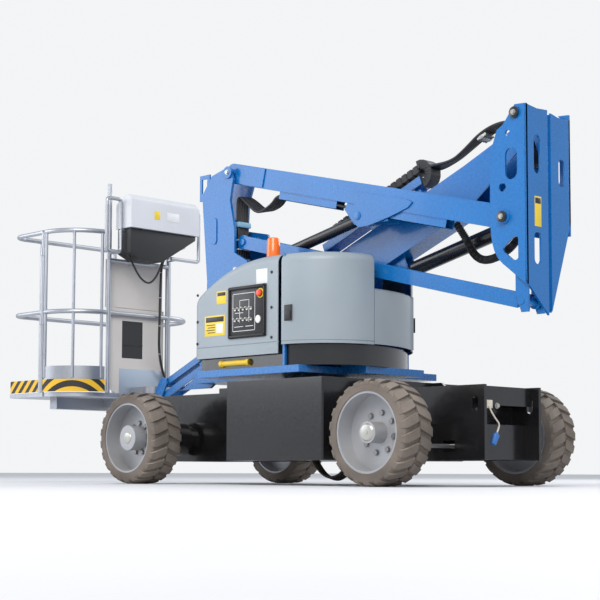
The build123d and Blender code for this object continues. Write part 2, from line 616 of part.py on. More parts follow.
def platform_floor():
    """Deck with kick plates and the beams that carry it."""
    deck = rect((PLATFORM_X[0] + 8, PLATFORM_X[1] - 8), (FAR_SIDE - 8, NEAR_SIDE + 8), (FLOOR_Z - 28, FLOOR_Z))
    cut = rect((PLATFORM_X[0] - 5, POST_A[0]), (POST_C[1], NEAR_SIDE + 20), (FLOOR_Z - 40, FLOOR_Z + 10))
    deck -= cut - upright_bar(POST_A[0], POST_C[1], CORNER_R, FLOOR_Z - 50, FLOOR_Z + 20)
    deck += rect((2270, 2350), (-520, 360), (FLOOR_Z - 107, FLOOR_Z - 28))
    deck += rect((1870, 2300), (BOOM_Y - 45, BOOM_Y + 45), (FLOOR_Z - 88, FLOOR_Z - 28))
    mount = upright_bar(ROTATOR_X, BOOM_Y, 75, 600.3, 655)
    mount += rect((ROTATOR_X, PLATFORM_X[0] + 10), (BOOM_Y - 55, BOOM_Y + 55), (600.3, 655))
    mount += rect((1870, PLATFORM_X[0] + 10), (BOOM_Y - 55, BOOM_Y + 55), (FLOOR_Z - 88, 655))
    return deck + mount


def platform_frame():
    """Guard rails and posts."""
    frame = rail(RAIL_Z) + rail(MID_RAIL_Z)
    low = FLOOR_Z
    posts = [HINGE_POST, (FRONT_SIDE, 250), (FRONT_SIDE, -400), (2300, FAR_SIDE),
             (REAR_SIDE, PLATFORM_Y - PANEL_HALF)]
    for x, y in posts:
        frame += upright_bar(x, y, RAIL_R, low, RAIL_Z)
    frame += upright_bar(POST_C[0], POST_C[1] - 20, RAIL_R, low, 2060)
    z = MID_RAIL_Z
    frame += across(REAR_SIDE, z, RAIL_R, PLATFORM_Y - PANEL_HALF, POST_C[1] - 20)
    frame += across(REAR_SIDE, 1530, RAIL_R, PLATFORM_Y - PANEL_HALF, POST_C[1] - 20)
    return frame


def gate():
    """Curved gate across the corner of the platform."""
    body = None
    for z in (RAIL_Z, MID_RAIL_Z):
        ring = Pos(POST_A[0], POST_C[1], z) * Torus(CORNER_R, RAIL_R)
        wedge = rect((PLATFORM_X[0] - 5, POST_A[0] - 8), (POST_C[1] + 8, NEAR_SIDE + 30), (z - 40, z + 40))
        part = ring & wedge
        body = part if body is None else body + part
    kick = upright_bar(POST_A[0], POST_C[1], CORNER_R + 3, FLOOR_Z + 8, FLOOR_Z + 180)
    kick -= upright_bar(POST_A[0], POST_C[1], CORNER_R - 3, FLOOR_Z, FLOOR_Z + 190)
    kick &= rect((PLATFORM_X[0] - 5, POST_A[0] - 8), (POST_C[1] + 8, NEAR_SIDE + 30), (FLOOR_Z, FLOOR_Z + 200))
    body += kick
    for z in (1080, 1560):
        body += upright_bar(*HINGE_POST, RAIL_R + 7, z, z + 50) + rect(
            (POST_A[0] - 14, POST_A[0] + 4), (NEAR_SIDE - 6, NEAR_SIDE + 6), (z, z + 50))
        body -= upright_bar(*HINGE_POST, RAIL_R + PIN_GAP, z - 1, z + 51)
    for angle in (92, 135, 173):
        x = POST_A[0] + CORNER_R * math.cos(math.radians(angle))
        y = POST_C[1] + CORNER_R * math.sin(math.radians(angle))
        body += upright_bar(x, y, 11, FLOOR_Z + 100, RAIL_Z)
    return body


def control_box():
    """Box of controls above the boom side of the platform."""
    return rect((1800, PLATFORM_X[0]), (-430, 60), (1600, 1950))


keep("platform_floor", platform_floor())
keep("platform_frame", platform_frame())
keep("gate", gate())
keep("control_box", control_box())

# Turn every piece out in the frame whose origin is the footprint's centre
SHIFT_X = -(PLATFORM_X[1] + UPRIGHT_BACK) / 2
TURN_OUT = Location((SHIFT_X, 0, 0))

if __name__ == "__main__":
    os.makedirs("parts", exist_ok=True)
    for name, solid in PIECES.items():
        export_step(solid.moved(TURN_OUT), "parts/" + name + ".step")
    print(len(PIECES), "pieces, shifted by", SHIFT_X)
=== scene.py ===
import json
import math

import bmesh
import bpy
from mathutils import Matrix, Vector

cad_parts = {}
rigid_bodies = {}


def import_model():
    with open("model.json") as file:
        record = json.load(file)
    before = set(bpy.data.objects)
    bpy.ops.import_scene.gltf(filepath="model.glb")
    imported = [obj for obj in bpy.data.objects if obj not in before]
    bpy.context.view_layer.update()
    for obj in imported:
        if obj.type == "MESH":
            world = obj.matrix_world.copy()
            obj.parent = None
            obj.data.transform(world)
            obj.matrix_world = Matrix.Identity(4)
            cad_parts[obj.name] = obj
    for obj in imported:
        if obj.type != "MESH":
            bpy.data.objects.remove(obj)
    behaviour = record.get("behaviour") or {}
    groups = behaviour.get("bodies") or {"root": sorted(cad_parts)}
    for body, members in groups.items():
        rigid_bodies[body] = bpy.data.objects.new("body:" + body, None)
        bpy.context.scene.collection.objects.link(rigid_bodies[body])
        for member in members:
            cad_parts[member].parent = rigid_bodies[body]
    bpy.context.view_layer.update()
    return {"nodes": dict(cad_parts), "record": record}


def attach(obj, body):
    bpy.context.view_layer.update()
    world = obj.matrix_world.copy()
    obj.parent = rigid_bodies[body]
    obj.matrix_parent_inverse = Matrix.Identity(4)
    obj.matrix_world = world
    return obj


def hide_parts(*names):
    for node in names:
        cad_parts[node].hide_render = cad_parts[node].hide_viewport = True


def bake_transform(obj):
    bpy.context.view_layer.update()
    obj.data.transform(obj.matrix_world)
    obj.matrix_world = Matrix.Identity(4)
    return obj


for left_over in list(bpy.data.objects):
    bpy.data.objects.remove(left_over)
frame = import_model()

bl_info = {
    "name": "Articulating boom lift dressing",
    "version": (1, 0, 0),
    "blender": (4, 5, 0),
    "location": "View3D > Sidebar > Boom Lift",
    "description": "Finishes, hoses, labels and fittings of an articulating boom lift",
    "category": "Object",
}

# Places are stated from the point midway between the axles, and shifted to the middle of the footprint
SHIFT_X = -509.5
BOOM_PIVOT = (-1560.0, 1948.0)
BOOM_SLOPE = math.radians(21.9)
ARM_FOOT = (670.0, 1951.0)
ARM_SLOPE = math.atan2(545.0, 2155.0)
WHEEL_Y = 624.0
AXLE_X = 1000.0
TYRE_R = 280.0
MATERIALS = {}


def at(x, y, z):
    """A place in millimetres from the axles' middle, as a point of the shared frame."""
    return Vector(((x + SHIFT_X) / 1000, y / 1000, z / 1000))


def at_boom(distance, rise, y):
    """A place along the boom, measured from its pivot."""
    x = BOOM_PIVOT[0] + distance * math.cos(BOOM_SLOPE) + rise * math.sin(BOOM_SLOPE)
    z = BOOM_PIVOT[1] - distance * math.sin(BOOM_SLOPE) + rise * math.cos(BOOM_SLOPE)
    return at(x, y, z)


def at_arm(distance, rise, y):
    """A place along the secondary arm, measured from its foot."""
    x = ARM_FOOT[0] - distance * math.cos(ARM_SLOPE) - rise * math.sin(ARM_SLOPE)
    z = ARM_FOOT[1] - distance * math.sin(ARM_SLOPE) + rise * math.cos(ARM_SLOPE)
    return at(x, y, z)


def nearest(place, *names):
    """The point of some CAD pieces closest to a place."""
    found = []
    for name in names:
        target = frame["nodes"][name]
        close, there, _, _ = target.closest_point_on_mesh(target.matrix_world.inverted() @ place)
        if close:
            there = target.matrix_world @ there
            found.append(((there - place).length, there))
    return min(found, key=lambda pair: pair[0])[1]


def hit(node, origin, direction):
    """Where a line from origin first meets a node's surface, or None."""
    target = frame["nodes"].get(node)
    if target is None:
        return None
    found, place, _, _ = target.ray_cast(origin, Vector(direction))
    return place if found else None


# Shader groups shared by the finishes


def new_group(name, inputs, outputs):
    """An empty shader group with its sockets."""
    group = bpy.data.node_groups.new(name, "ShaderNodeTree")
    for label, kind, value in inputs:
        socket = group.interface.new_socket(label, in_out="INPUT", socket_type=kind)
        if value is not None:
            socket.default_value = value
    for label, kind in outputs:
        group.interface.new_socket(label, in_out="OUTPUT", socket_type=kind)
    return group, group.nodes.new("NodeGroupInput"), group.nodes.new("NodeGroupOutput")


def maths(tree, operation, first, second, clamp=False):
    """A math node whose two inputs are sockets or numbers."""
    node = tree.nodes.new("ShaderNodeMath")
    node.operation = operation
    node.use_clamp = clamp
    for index, value in enumerate((first, second)):
        if isinstance(value, (int, float)):
            node.inputs[index].default_value = value
        else:
            tree.links.new(value, node.inputs[index])
    return node.outputs[0]


def noise(tree, vector, scale, detail=3.0, rough=0.55):
    """A noise texture's value."""
    node = tree.nodes.new("ShaderNodeTexNoise")
    node.inputs["Scale"].default_value = scale
    node.inputs["Detail"].default_value = detail
    node.inputs["Roughness"].default_value = rough
    tree.links.new(vector, node.inputs["Vector"])
    return node.outputs["Fac"]


def ramp(tree, value, low, high, out_low=0.0, out_high=1.0):
    """A value mapped from one span to another and held within it."""
    node = tree.nodes.new("ShaderNodeMapRange")
    node.inputs["From Min"].default_value = low
    node.inputs["From Max"].default_value = high
    node.inputs["To Min"].default_value = out_low
    node.inputs["To Max"].default_value = out_high
    tree.links.new(value, node.inputs["Value"])
    return node.outputs["Result"]


def mix_colour(tree, factor, first, second):
    """Two colours mixed by a factor."""
    node = tree.nodes.new("ShaderNodeMix")
    node.data_type = "RGBA"
    for socket, value in ((node.inputs[0], factor), (node.inputs[6], first), (node.inputs[7], second)):
        if isinstance(value, (int, float, tuple, list)):
            socket.default_value = value
        else:
            tree.links.new(value, socket)
    return node.outputs[2]


def wear_group():
    """Dust that gathers low down and on upward faces, faint mottling and fine unevenness."""
    colour, number = "NodeSocketColor", "NodeSocketFloat"
    group, entry, leave = new_group(
        "worn_surface",
        (("Paint", colour, (0.5, 0.5, 0.5, 1)), ("Dust", colour, (0.35, 0.3, 0.25, 1)),
                ("Dust Share", number, 0.2),
         ("Roughness", number, 0.4), ("Grain", number, 60.0), ("Mottle", number, 0.06)),
        (("Colour", colour), ("Roughness", number), ("Height", number)),
    )
    place = group.nodes.new("ShaderNodeTexCoord").outputs["Object"]
    normal = group.nodes.new("ShaderNodeNewGeometry").outputs["Normal"]
    split_place = group.nodes.new("ShaderNodeSeparateXYZ")
    group.links.new(place, split_place.inputs[0])
    split_normal = group.nodes.new("ShaderNodeSeparateXYZ")
    group.links.new(normal, split_normal.inputs[0])
    low = ramp(group, split_place.outputs["Z"], 1.1, 0.0, 0.12, 1.0)
    upward = ramp(group, split_normal.outputs["Z"], 0.2, 0.95, 0.25, 1.0)
    patches = ramp(group, noise(group, place, 4.5, 6.0, 0.6), 0.38, 0.66)
    fine = noise(group, place, 55.0, 3.0)
    share = maths(group, "MULTIPLY", maths(group, "MULTIPLY", low, upward), maths(group, "ADD", patches,
            0.25), True)
    share = maths(group, "MULTIPLY", share, entry.outputs["Dust Share"], True)
    broad = ramp(group, noise(group, place, 2.2, 2.0), 0.3, 0.7, -1.0, 1.0)
    shade = maths(group, "ADD", maths(group, "MULTIPLY", broad, entry.outputs["Mottle"]), 1.0)
    paint = group.nodes.new("ShaderNodeVectorMath")
    paint.operation = "SCALE"
    group.links.new(entry.outputs["Paint"], paint.inputs[0])
    group.links.new(shade, paint.inputs["Scale"])
    group.links.new(mix_colour(group, share, paint.outputs[0], entry.outputs["Dust"]),
            leave.inputs["Colour"])
    rough = maths(group, "ADD", entry.outputs["Roughness"], maths(group, "MULTIPLY", share, 0.35))
    rough = maths(group, "ADD", rough, ramp(group, fine, 0.3, 0.7, -0.04, 0.06), True)
    group.links.new(rough, leave.inputs["Roughness"])
    grain = group.nodes.new("ShaderNodeTexNoise")
    group.links.new(place, grain.inputs["Vector"])
    group.links.new(entry.outputs["Grain"], grain.inputs["Scale"])
    group.links.new(grain.outputs["Fac"], leave.inputs["Height"])
    return group


def finish(name, colour, rough, metal=0.0, dust=0.2, dust_colour=(0.33, 0.28, 0.23), grain=70.0,
        bump=0.02,
           edge=0.0, coat=0.0, mottle=0.06, glow=0.0):
    """A finish built on the shared worn surface."""
    material = bpy.data.materials.new(name)
    material.use_nodes = True
    tree = material.node_tree
    shader = tree.nodes["Principled BSDF"]
    worn = tree.nodes.new("ShaderNodeGroup")
    worn.node_tree = bpy.data.node_groups.get("worn_surface") or wear_group()
    worn.inputs["Paint"].default_value = (*colour, 1)
    worn.inputs["Dust"].default_value = (*dust_colour, 1)
    worn.inputs["Dust Share"].default_value = dust
    worn.inputs["Roughness"].default_value = rough
    worn.inputs["Grain"].default_value = grain
    worn.inputs["Mottle"].default_value = mottle
    tree.links.new(worn.outputs["Colour"], shader.inputs["Base Color"])
    tree.links.new(worn.outputs["Roughness"], shader.inputs["Roughness"])
    shader.inputs["Metallic"].default_value = metal
    shader.inputs["Coat Weight"].default_value = coat
    shader.inputs["Coat Roughness"].default_value = 0.08
    relief = tree.nodes.new("ShaderNodeBump")
    relief.inputs["Strength"].default_value = bump
    relief.inputs["Distance"].default_value = 0.002
    tree.links.new(worn.outputs["Height"], relief.inputs["Height"])
    if edge:
        soft = tree.nodes.new("ShaderNodeBevel")
        soft.samples = 4
        soft.inputs["Radius"].default_value = edge
        tree.links.new(soft.outputs["Normal"], relief.inputs["Normal"])
    tree.links.new(relief.outputs["Normal"], shader.inputs["Normal"])
    if glow:
        tree.links.new(worn.outputs["Colour"], shader.inputs["Emission Color"])
        shader.inputs["Emission Strength"].default_value = glow
    MATERIALS[name] = material
    return material


def stripes(name, first, second, pitch):
    """Slanted warning stripes in two colours."""
    material = finish(name, first, 0.5, dust=0.25)
    tree = material.node_tree
    place = tree.nodes.new("ShaderNodeTexCoord").outputs["Object"]
    split = tree.nodes.new("ShaderNodeSeparateXYZ")
    tree.links.new(place, split.inputs[0])
    along = maths(tree, "ADD", split.outputs["X"], maths(tree, "MULTIPLY", split.outputs["Y"], -1.0))
    phase = maths(tree, "DIVIDE", maths(tree, "ADD", along, split.outputs["Z"]), pitch)
    half = maths(tree, "GREATER_THAN", maths(tree, "FRACT", phase, 0.0), 0.5)
    colour = mix_colour(tree, half, (*first, 1), (*second, 1))
    worn = next(node for node in tree.nodes if node.type == "GROUP")
    tree.links.new(colour, worn.inputs["Paint"])
    return material


def make_finishes(settings):
    """All finishes, by their slot or use."""
    dust = settings.dust
    finish("boom_blue", (0.003, 0.150, 0.460), 0.26, dust=0.06 * dust, edge=0.002, coat=0.3)
    finish("frame_black", (0.008, 0.008, 0.009), 0.2, dust=0.04 * dust, edge=0.002, coat=0.35)
    finish("cover_grey", (0.315, 0.365, 0.400), 0.36, dust=0.25 * dust, edge=0.002, bump=0.03, grain=120)
    finish("galvanised", (0.46, 0.48, 0.52), 0.36, metal=0.85, dust=0.2 * dust, bump=0.05, grain=160,
            mottle=0.15)
    finish("steel", (0.30, 0.30, 0.31), 0.38, metal=0.9, dust=0.3 * dust, mottle=0.15)
    finish("chrome_rod", (0.75, 0.76, 0.78), 0.10, metal=1.0, dust=0.05, bump=0.005)
    finish("black_gloss", (0.012, 0.012, 0.013), 0.18, dust=0.1, coat=0.5)
    finish("cylinder_black", (0.014, 0.014, 0.016), 0.26, dust=0.25 * dust, coat=0.3)
    finish("tyre", (0.135, 0.112, 0.095), 0.92, dust=1.0, dust_colour=(0.40, 0.34, 0.285), grain=90,
            bump=0.35, mottle=0.22)
    finish("rim_grey", (0.42, 0.43, 0.45), 0.45, metal=0.35, dust=0.55 * dust, edge=0.002, mottle=0.12)
    finish("amber", (0.95, 0.16, 0.010), 0.16, dust=0.05, coat=0.6, glow=0.12)
    finish("box_white", (0.66, 0.68, 0.72), 0.34, dust=0.15 * dust, edge=0.003)
    finish("panel_beige", (0.62, 0.585, 0.555), 0.42, dust=0.25 * dust, bump=0.03)
    finish("panel_blue", (0.42, 0.50, 0.60), 0.34, metal=0.3, dust=0.35 * dust, bump=0.03)
    finish("black_plastic", (0.022, 0.022, 0.024), 0.48, dust=0.3 * dust, edge=0.001, bump=0.06)
    finish("hose_black", (0.014, 0.014, 0.015), 0.42, dust=0.3 * dust, bump=0.1, grain=300)
    finish("plug_blue", (0.02, 0.16, 0.50), 0.40, dust=0.2)
    finish("yellow", (0.80, 0.54, 0.03), 0.42, dust=0.2 * dust)
    finish("stop_red", (0.82, 0.07, 0.02), 0.30, dust=0.05, coat=0.4)
    finish("cream", (0.72, 0.66, 0.55), 0.45, dust=0.15)
    finish("label_white", (0.80, 0.81, 0.82), 0.36, dust=0.12 * dust, bump=0.0)
    finish("label_yellow", (0.86, 0.62, 0.04), 0.36, dust=0.12 * dust, bump=0.0)
    finish("label_orange", (0.90, 0.25, 0.03), 0.36, dust=0.12 * dust, bump=0.0)
    finish("label_black", (0.02, 0.02, 0.022), 0.36, dust=0.12 * dust, bump=0.0)
    finish("clamp_blue", (0.25, 0.50, 0.68), 0.40, dust=0.15)
    finish("tie_white", (0.75, 0.76, 0.76), 0.45, dust=0.1)
    finish("zinc", (0.55, 0.54, 0.50), 0.34, metal=0.9, dust=0.2, mottle=0.1)
    finish("sleeve", (0.018, 0.018, 0.020), 0.55, dust=0.2)
    stripes("hazard", (0.86, 0.50, 0.02), (0.02, 0.02, 0.02), 0.085)


# Geometry helpers


class Shape:
    """Parts of one mesh, gathered before the object is made."""

    def __init__(self):
        self.mesh = bmesh.new()

    def box(self, low, high, bevel=0.0):
        """A block between two corners, with softened edges."""
        size = [abs(b - a) for a, b in zip(low, high)]
        centre = [(a + b) / 2 for a, b in zip(low, high)]
        made = bmesh.ops.create_cube(self.mesh, size=1.0)
        bmesh.ops.scale(self.mesh, vec=size, verts=made["verts"])
        bmesh.ops.translate(self.mesh, vec=centre, verts=made["verts"])
        if bevel:
            edges = list({edge for vert in made["verts"] for edge in vert.link_edges})
            bmesh.ops.bevel(self.mesh, geom=edges, offset=bevel, segments=2, affect="EDGES", profile=0.5)
        return self

    def rod(self, start, end, r, segments=24, end_r=None, bevel=0.0):
        """A cylinder or cone between two points."""
        axis = end - start
        turn = axis.to_track_quat("Z", "Y").to_matrix().to_4x4()
        move = Matrix.Translation((start + end) / 2) @ turn
        made = bmesh.ops.create_cone(self.mesh, cap_ends=True, segments=segments, radius1=r,
                                     radius2=r if end_r is None else end_r, depth=axis.length, matrix=move)
        if bevel:
            far = [v for v in made["verts"] if (v.co - end).length < (v.co - start).length]
            edges = list({e for v in far for e in v.link_edges if e.other_vert(v) in far})
            bmesh.ops.bevel(self.mesh, geom=edges, offset=bevel, segments=2, affect="EDGES", profile=0.5)
        return self

    def ring(self, centre, axis, r, thick, turns=32, sides=10):
        """A torus round an axis."""
        turn = Vector(axis).to_track_quat("Z", "Y").to_matrix()
        loops = []
        for i in range(turns):
            a = 2 * math.pi * i / turns
            out = turn @ Vector((math.cos(a), math.sin(a), 0))
            up = turn @ Vector((0, 0, 1))
            loop = []
            for j in range(sides):
                b = 2 * math.pi * j / sides
                place = centre + out * (r + thick * math.cos(b)) + up * thick * math.sin(b)
                loop.append(self.mesh.verts.new(place))
            loops.append(loop)
        self._skin(loops, True)
        return self

    def sweep(self, points, radii, sides=14, r=0.01):
        """A round tube through points, with a radius at each."""
        radii = radii or [r] * len(points)
        loops = []
        side = None
        for i, point in enumerate(points):
            ahead = points[min(i + 1, len(points) - 1)] - points[max(i - 1, 0)]
            ahead.normalize()
            if side is None:
                side = ahead.orthogonal().normalized()
            side = (side - ahead * side.dot(ahead)).normalized()
            other = ahead.cross(side)
            loop = []
            for j in range(sides):
                b = 2 * math.pi * j / sides
                out = side * math.cos(b) + other * math.sin(b)
                loop.append(self.mesh.verts.new(point + out * radii[i]))
            loops.append(loop)
        self._skin(loops, False)
        self.mesh.faces.new(list(reversed(loops[0])))
        self.mesh.faces.new(loops[-1])
        return self

    def prism(self, outline, depth):
        """A plate from a closed outline of points, thickened along a vector."""
        near = [self.mesh.verts.new(p) for p in outline]
        far = [self.mesh.verts.new(p + depth) for p in outline]
        self.mesh.faces.new(near)
        self.mesh.faces.new(list(reversed(far)))
        for i in range(len(near)):
            j = (i + 1) % len(near)
            self.mesh.faces.new((near[i], far[i], far[j], near[j]))
        return self

    def _skin(self, loops, closed):
        count = len(loops)
        for i in range(count if closed else count - 1):
            first, second = loops[i], loops[(i + 1) % count]
            for j in range(len(first)):
                k = (j + 1) % len(first)
                self.mesh.faces.new((first[j], first[k], second[k], second[j]))

    def object(self, name, material, body, slot=None, smooth=True):
        """The finished object, riding on its body."""
        bmesh.ops.recalc_face_normals(self.mesh, faces=self.mesh.faces)
        data = bpy.data.meshes.new(name)
        self.mesh.to_mesh(data)
        self.mesh.free()
        made = bpy.data.objects.new(name, data)
        bpy.context.scene.collection.objects.link(made)
        data.materials.append(MATERIALS[material])
        if smooth:
            data.polygons.foreach_set("use_smooth", [True] * len(data.polygons))
            data.set_sharp_from_angle(angle=math.radians(35))
        if body:
            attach(made, body)
        return made


def hex_bolts(name, places, axis, r, body, material="zinc", washer=True):
    """Hexagonal bolt heads seated on places, standing along an axis."""
    shape = Shape()
    axis = Vector(axis)
    for place in places:
        if place is None:
            continue
        if washer:
            shape.rod(place - axis * 0.0005, place + axis * 0.0018, r * 1.45, 20)
        shape.rod(place, place + axis * r * 0.95, r * 1.12, 6)
    return shape.object(name, material, body, "steel", smooth=False)


def curve_points(points, samples=8):
    """Places along a clamped quadratic curve through control points."""
    count = len(points)
    made = []
    for i in range(count - 2):
        start = points[0] if i == 0 else (points[i] + points[i + 1]) / 2
        end = points[-1] if i == count - 3 else (points[i + 1] + points[i + 2]) / 2
        for step in range(samples + (1 if i == count - 3 else 0)):
            t = step / samples
            made.append(start * (1 - t) ** 2 + points[i + 1] * 2 * t * (1 - t) + end * t ** 2)
    return made


def hose(name, points, r, body=None, joint=None, material="hose_black", slot="black_plastic",
         ribs=0.0):
    """A hose or cable. One that crosses a joint bends between its two bodies."""
    line = curve_points(points, 14)
    if ribs:
        fine = curve_points(points, 60)
        line = fine
        radii = [r + ribs * math.sin(i * 1.5) for i in range(len(fine))]
    else:
        radii = [r] * len(line)
    made = Shape().sweep(line, radii, 12).object(name, material, body, slot)
    if joint:
        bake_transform(made)
    return made


# Forms that stand for plainer CAD nodes

HOOD_HALF = 620.0
HOOD_FRONT = 510.0
HOOD_REAR = -610.0
HOOD_TOP = 1300.0
SEAM = -235.0
SLOT = (-235.0, 245.0)
ROOF_R = 1040.0
ROOF_START = -110.0
HOOD_EDGE_R = 50.0
HOOD_MIDDLE = 1000.0
NEAR_CORNER_R = 370.0
FAR_CORNER_R = 862.0
CREASE_Z = 803.0
CREASE_HALF = 3.0
CREASE_DEPTH = 3.0
COVER_LOW = 738.0
TAIL_LOW = 786.0
SKIRT_LOW = 669.0
SKIRT_INSET = 32.0
SEAM_HALF = 14.0
SHEET = 0.006
UPRIGHT_BACK = -1631.0
UPRIGHT_HALF = 188.0
UPRIGHT_PLATE = 12.0
LUGS = 22
LUG_TURN = 9.0
CARCASS_STEPS = 72
PANEL_FACE = 1962.5
LOOP_X = 1850.0
CONTROL_FACE = 621.5
LINK_PITCH = 46.0
LINK_LENGTH = 32.0
CHAIN_START = 862.0


def roof(x):
    """Height of the covers' roof, which falls towards the platform."""
    ahead = max(0.0, x - ROOF_START)
    return HOOD_TOP - ROOF_R + math.sqrt(max(0.0, ROOF_R ** 2 - ahead ** 2))


def arc(cx, cy, r, start, end, steps):
    """Points of an arc in plan, angles in degrees."""
    made = []
    for i in range(steps + 1):
        a = math.radians(start + (end - start) * i / steps)
        made.append((cx + r * math.cos(a), cy + r * math.sin(a)))
    return made


def straight(a, b, steps):
    """Points of a straight run in plan, both ends left out."""
    return [(a[0] + (b[0] - a[0]) * i / steps, a[1] + (b[1] - a[1]) * i / steps) for i in range(1, steps)]


def hood_plan(inset):
    """Plan of the covers, rounded at the tail."""
    near, rear, front, far = HOOD_HALF - inset, HOOD_REAR + inset, HOOD_FRONT - inset, -HOOD_HALF + inset
    nr = NEAR_CORNER_R - inset
    fr = FAR_CORNER_R - inset
    c = max(8.0, HOOD_EDGE_R - inset)
    points = arc(front - c, near - c, c, 0, 90, 6)
    points += straight(points[-1], (rear + nr, near), 24)
    points += arc(rear + nr, near - nr, nr, 90, 180, 26)
    end = arc(rear + fr, far + fr, fr, 180, 270, 40)
    points += straight(points[-1], end[0], 3) if points[-1][1] > end[0][1] + 1 else []
    points += end
    points += straight(points[-1], (front - c, far), 8)
    points += arc(front - c, far + c, c, 270, 360, 6)
    points += straight(points[-1], (front, near - c), 16)
    return points


def hood_skin(bottom):
    """The whole hood's skin as one open shell with a softened roof edge."""
    edge = HOOD_EDGE_R
    shape = Shape()
    loops = []
    for z in (bottom, CREASE_Z - CREASE_HALF, CREASE_Z, CREASE_Z + CREASE_HALF, HOOD_MIDDLE):
        inset = CREASE_DEPTH if z == CREASE_Z else 0.0
        loops.append([shape.mesh.verts.new(at(x, y, z)) for x, y in hood_plan(inset)])
    for i in range(9):
        a = math.radians(90 * i / 8)
        inset = edge * (1 - math.cos(a))
        drop = edge - edge * math.sin(a)
        loops.append([shape.mesh.verts.new(at(x, y, roof(x) - drop)) for x, y in hood_plan(inset)])
    for inset in (90.0, 150.0, 210.0):
        loops.append([shape.mesh.verts.new(at(x, y, roof(x))) for x, y in hood_plan(inset)])
    shape._skin(loops, False)
    rim = [e for e in shape.mesh.edges if e.is_boundary and all(v in loops[-1] for v in e.verts)]
    bmesh.ops.triangle_fill(shape.mesh, use_beauty=True, edges=rim)
    return shape


def cut_away(shape, place, normal):
    """Keep the side of a plane that its normal points away from."""
    geometry = shape.mesh.verts[:] + shape.mesh.edges[:] + shape.mesh.faces[:]
    bmesh.ops.bisect_plane(shape.mesh, geom=geometry, plane_co=place, plane_no=normal, clear_outer=True)


def thicken(shape, depth):
    """Give an open shell a wall on its inner side."""
    bmesh.ops.recalc_face_normals(shape.mesh, faces=shape.mesh.faces)
    bmesh.ops.solidify(shape.mesh, geom=shape.mesh.faces[:], thickness=depth)


def make_hood(settings):
    """Rounded covers with a sloping roof, in place of the plain ones."""
    for side, sign in (("left", 1), ("right", -1)):
        slot_y = SLOT[1] if sign > 0 else SLOT[0]
        for part in ("front", "tail"):
            shape = hood_skin(COVER_LOW if part == "front" else TAIL_LOW)
            cut_away(shape, at(0, slot_y, 0), Vector((0, -sign, 0)))
            if part == "front":
                cut_away(shape, at(SEAM + SEAM_HALF, 0, 0), Vector((-1, 0, 0)))
            else:
                cut_away(shape, at(SEAM - SEAM_HALF, 0, 0), Vector((1, 0, 0)))
            thicken(shape, SHEET)
            body = "turntable" if part == "front" else f"tail_cover_{side}"
            made = shape.object(f"hood_{part}_{side}", "cover_grey", body, "cover_grey")
            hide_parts(f"{part}_cover_{side}")
    shelf = Shape()
    outline = [(x, y) for x, y in hood_plan(0) if x < SEAM - 60 and SLOT[0] + 2 < y < SLOT[1] - 2]
    outline = [(SEAM - 60, SLOT[1] - 2), (outline[0][0], SLOT[1] - 2)] + outline + [(outline[-1][0],
            SLOT[0] + 2), (SEAM - 60, SLOT[0] + 2)]
    shelf.prism([at(x, y, 1096) for x, y in outline], Vector((0, 0, SHEET)))
    wall = outline[1:-1]
    for (x0, y0), (x1, y1) in zip(wall, wall[1:]):
        shelf.mesh.faces.new([shelf.mesh.verts.new(p) for p in (at(x0, y0, 790), at(x1, y1, 790),
                at(x1, y1, 1099), at(x0, y0, 1099))])
    bmesh.ops.remove_doubles(shelf.mesh, verts=shelf.mesh.verts, dist=0.0001)
    shelf.object("tail_shelf", "cover_grey", "turntable", "cover_grey")
    skirt = Shape()
    loops = []
    for z in (SKIRT_LOW, TAIL_LOW):
        loops.append([skirt.mesh.verts.new(at(x, y, z)) for x, y in hood_plan(SKIRT_INSET)])
    skirt._skin(loops, False)
    thicken(skirt, SHEET)
    skirt.object("skirt", "black_gloss", "turntable", "frame_black")
    seams = Shape()
    seams.box(at(SEAM - 34, 556, 672), at(SEAM + 34, 562, 1236))
    seams.object("seam_panel", "label_black", "turntable", "frame_black")


def make_tyres(settings):
    """Tyres with a slanted block tread in place of the plain ones."""
    for end, x in (("drive", AXLE_X), ("steer", -AXLE_X)):
        for side, sign in (("left", 1), ("right", -1)):
            centre = at(x, sign * WHEEL_Y, TYRE_R)
            shape = Shape()
            profile = [(214, -111), (236, -111), (256, -107), (264, -98), (264, 98), (256, 107),
                    (236, 111), (214, 111)]
            loops = []
            for i in range(CARCASS_STEPS):
                a = 2 * math.pi * i / CARCASS_STEPS
                loops.append([shape.mesh.verts.new(centre + Vector((r * math.cos(a), y,
                        r * math.sin(a))) / 1000) for r, y in profile])
            count = len(loops)
            for i in range(count):
                for j in range(len(profile)):
                    k = (j + 1) % len(profile)
                    shape.mesh.faces.new((loops[i][j], loops[(i + 1) % count][j],
                            loops[(i + 1) % count][k], loops[i][k]))
            for row in (1, -1):
                for i in range(LUGS):
                    base = 360 / LUGS * (i + (0.5 if row < 0 else 0))
                    rings = []
                    for y, r, half in ((4, 279.6, 5.6), (40, 279.8, 5.7), (84, 278.5, 5.6),
                            (104, 270, 5.0), (110.5, 252, 4.2)):
                        a0 = base + LUG_TURN * y / 111
                        ring = []
                        for radius, angle in ((250 if y < 110 else 246, a0 - half), (r, a0 - half + 0.7),
                                (r, a0 + half - 0.7), (250 if y < 110 else 246, a0 + half)):
                            a = math.radians(angle)
                            ring.append(shape.mesh.verts.new(centre + Vector((radius * math.cos(a),
                                    row * y, radius * math.sin(a))) / 1000))
                        rings.append(ring)
                    shape._skin(rings, False)
                    shape.mesh.faces.new(list(reversed(rings[0])))
                    shape.mesh.faces.new(rings[-1])
            made = shape.object(f"tread_{end}_{side}", "tyre", f"{end}_wheel_{side}", "tyre")
            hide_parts(f"{end}_tyre_{side}")


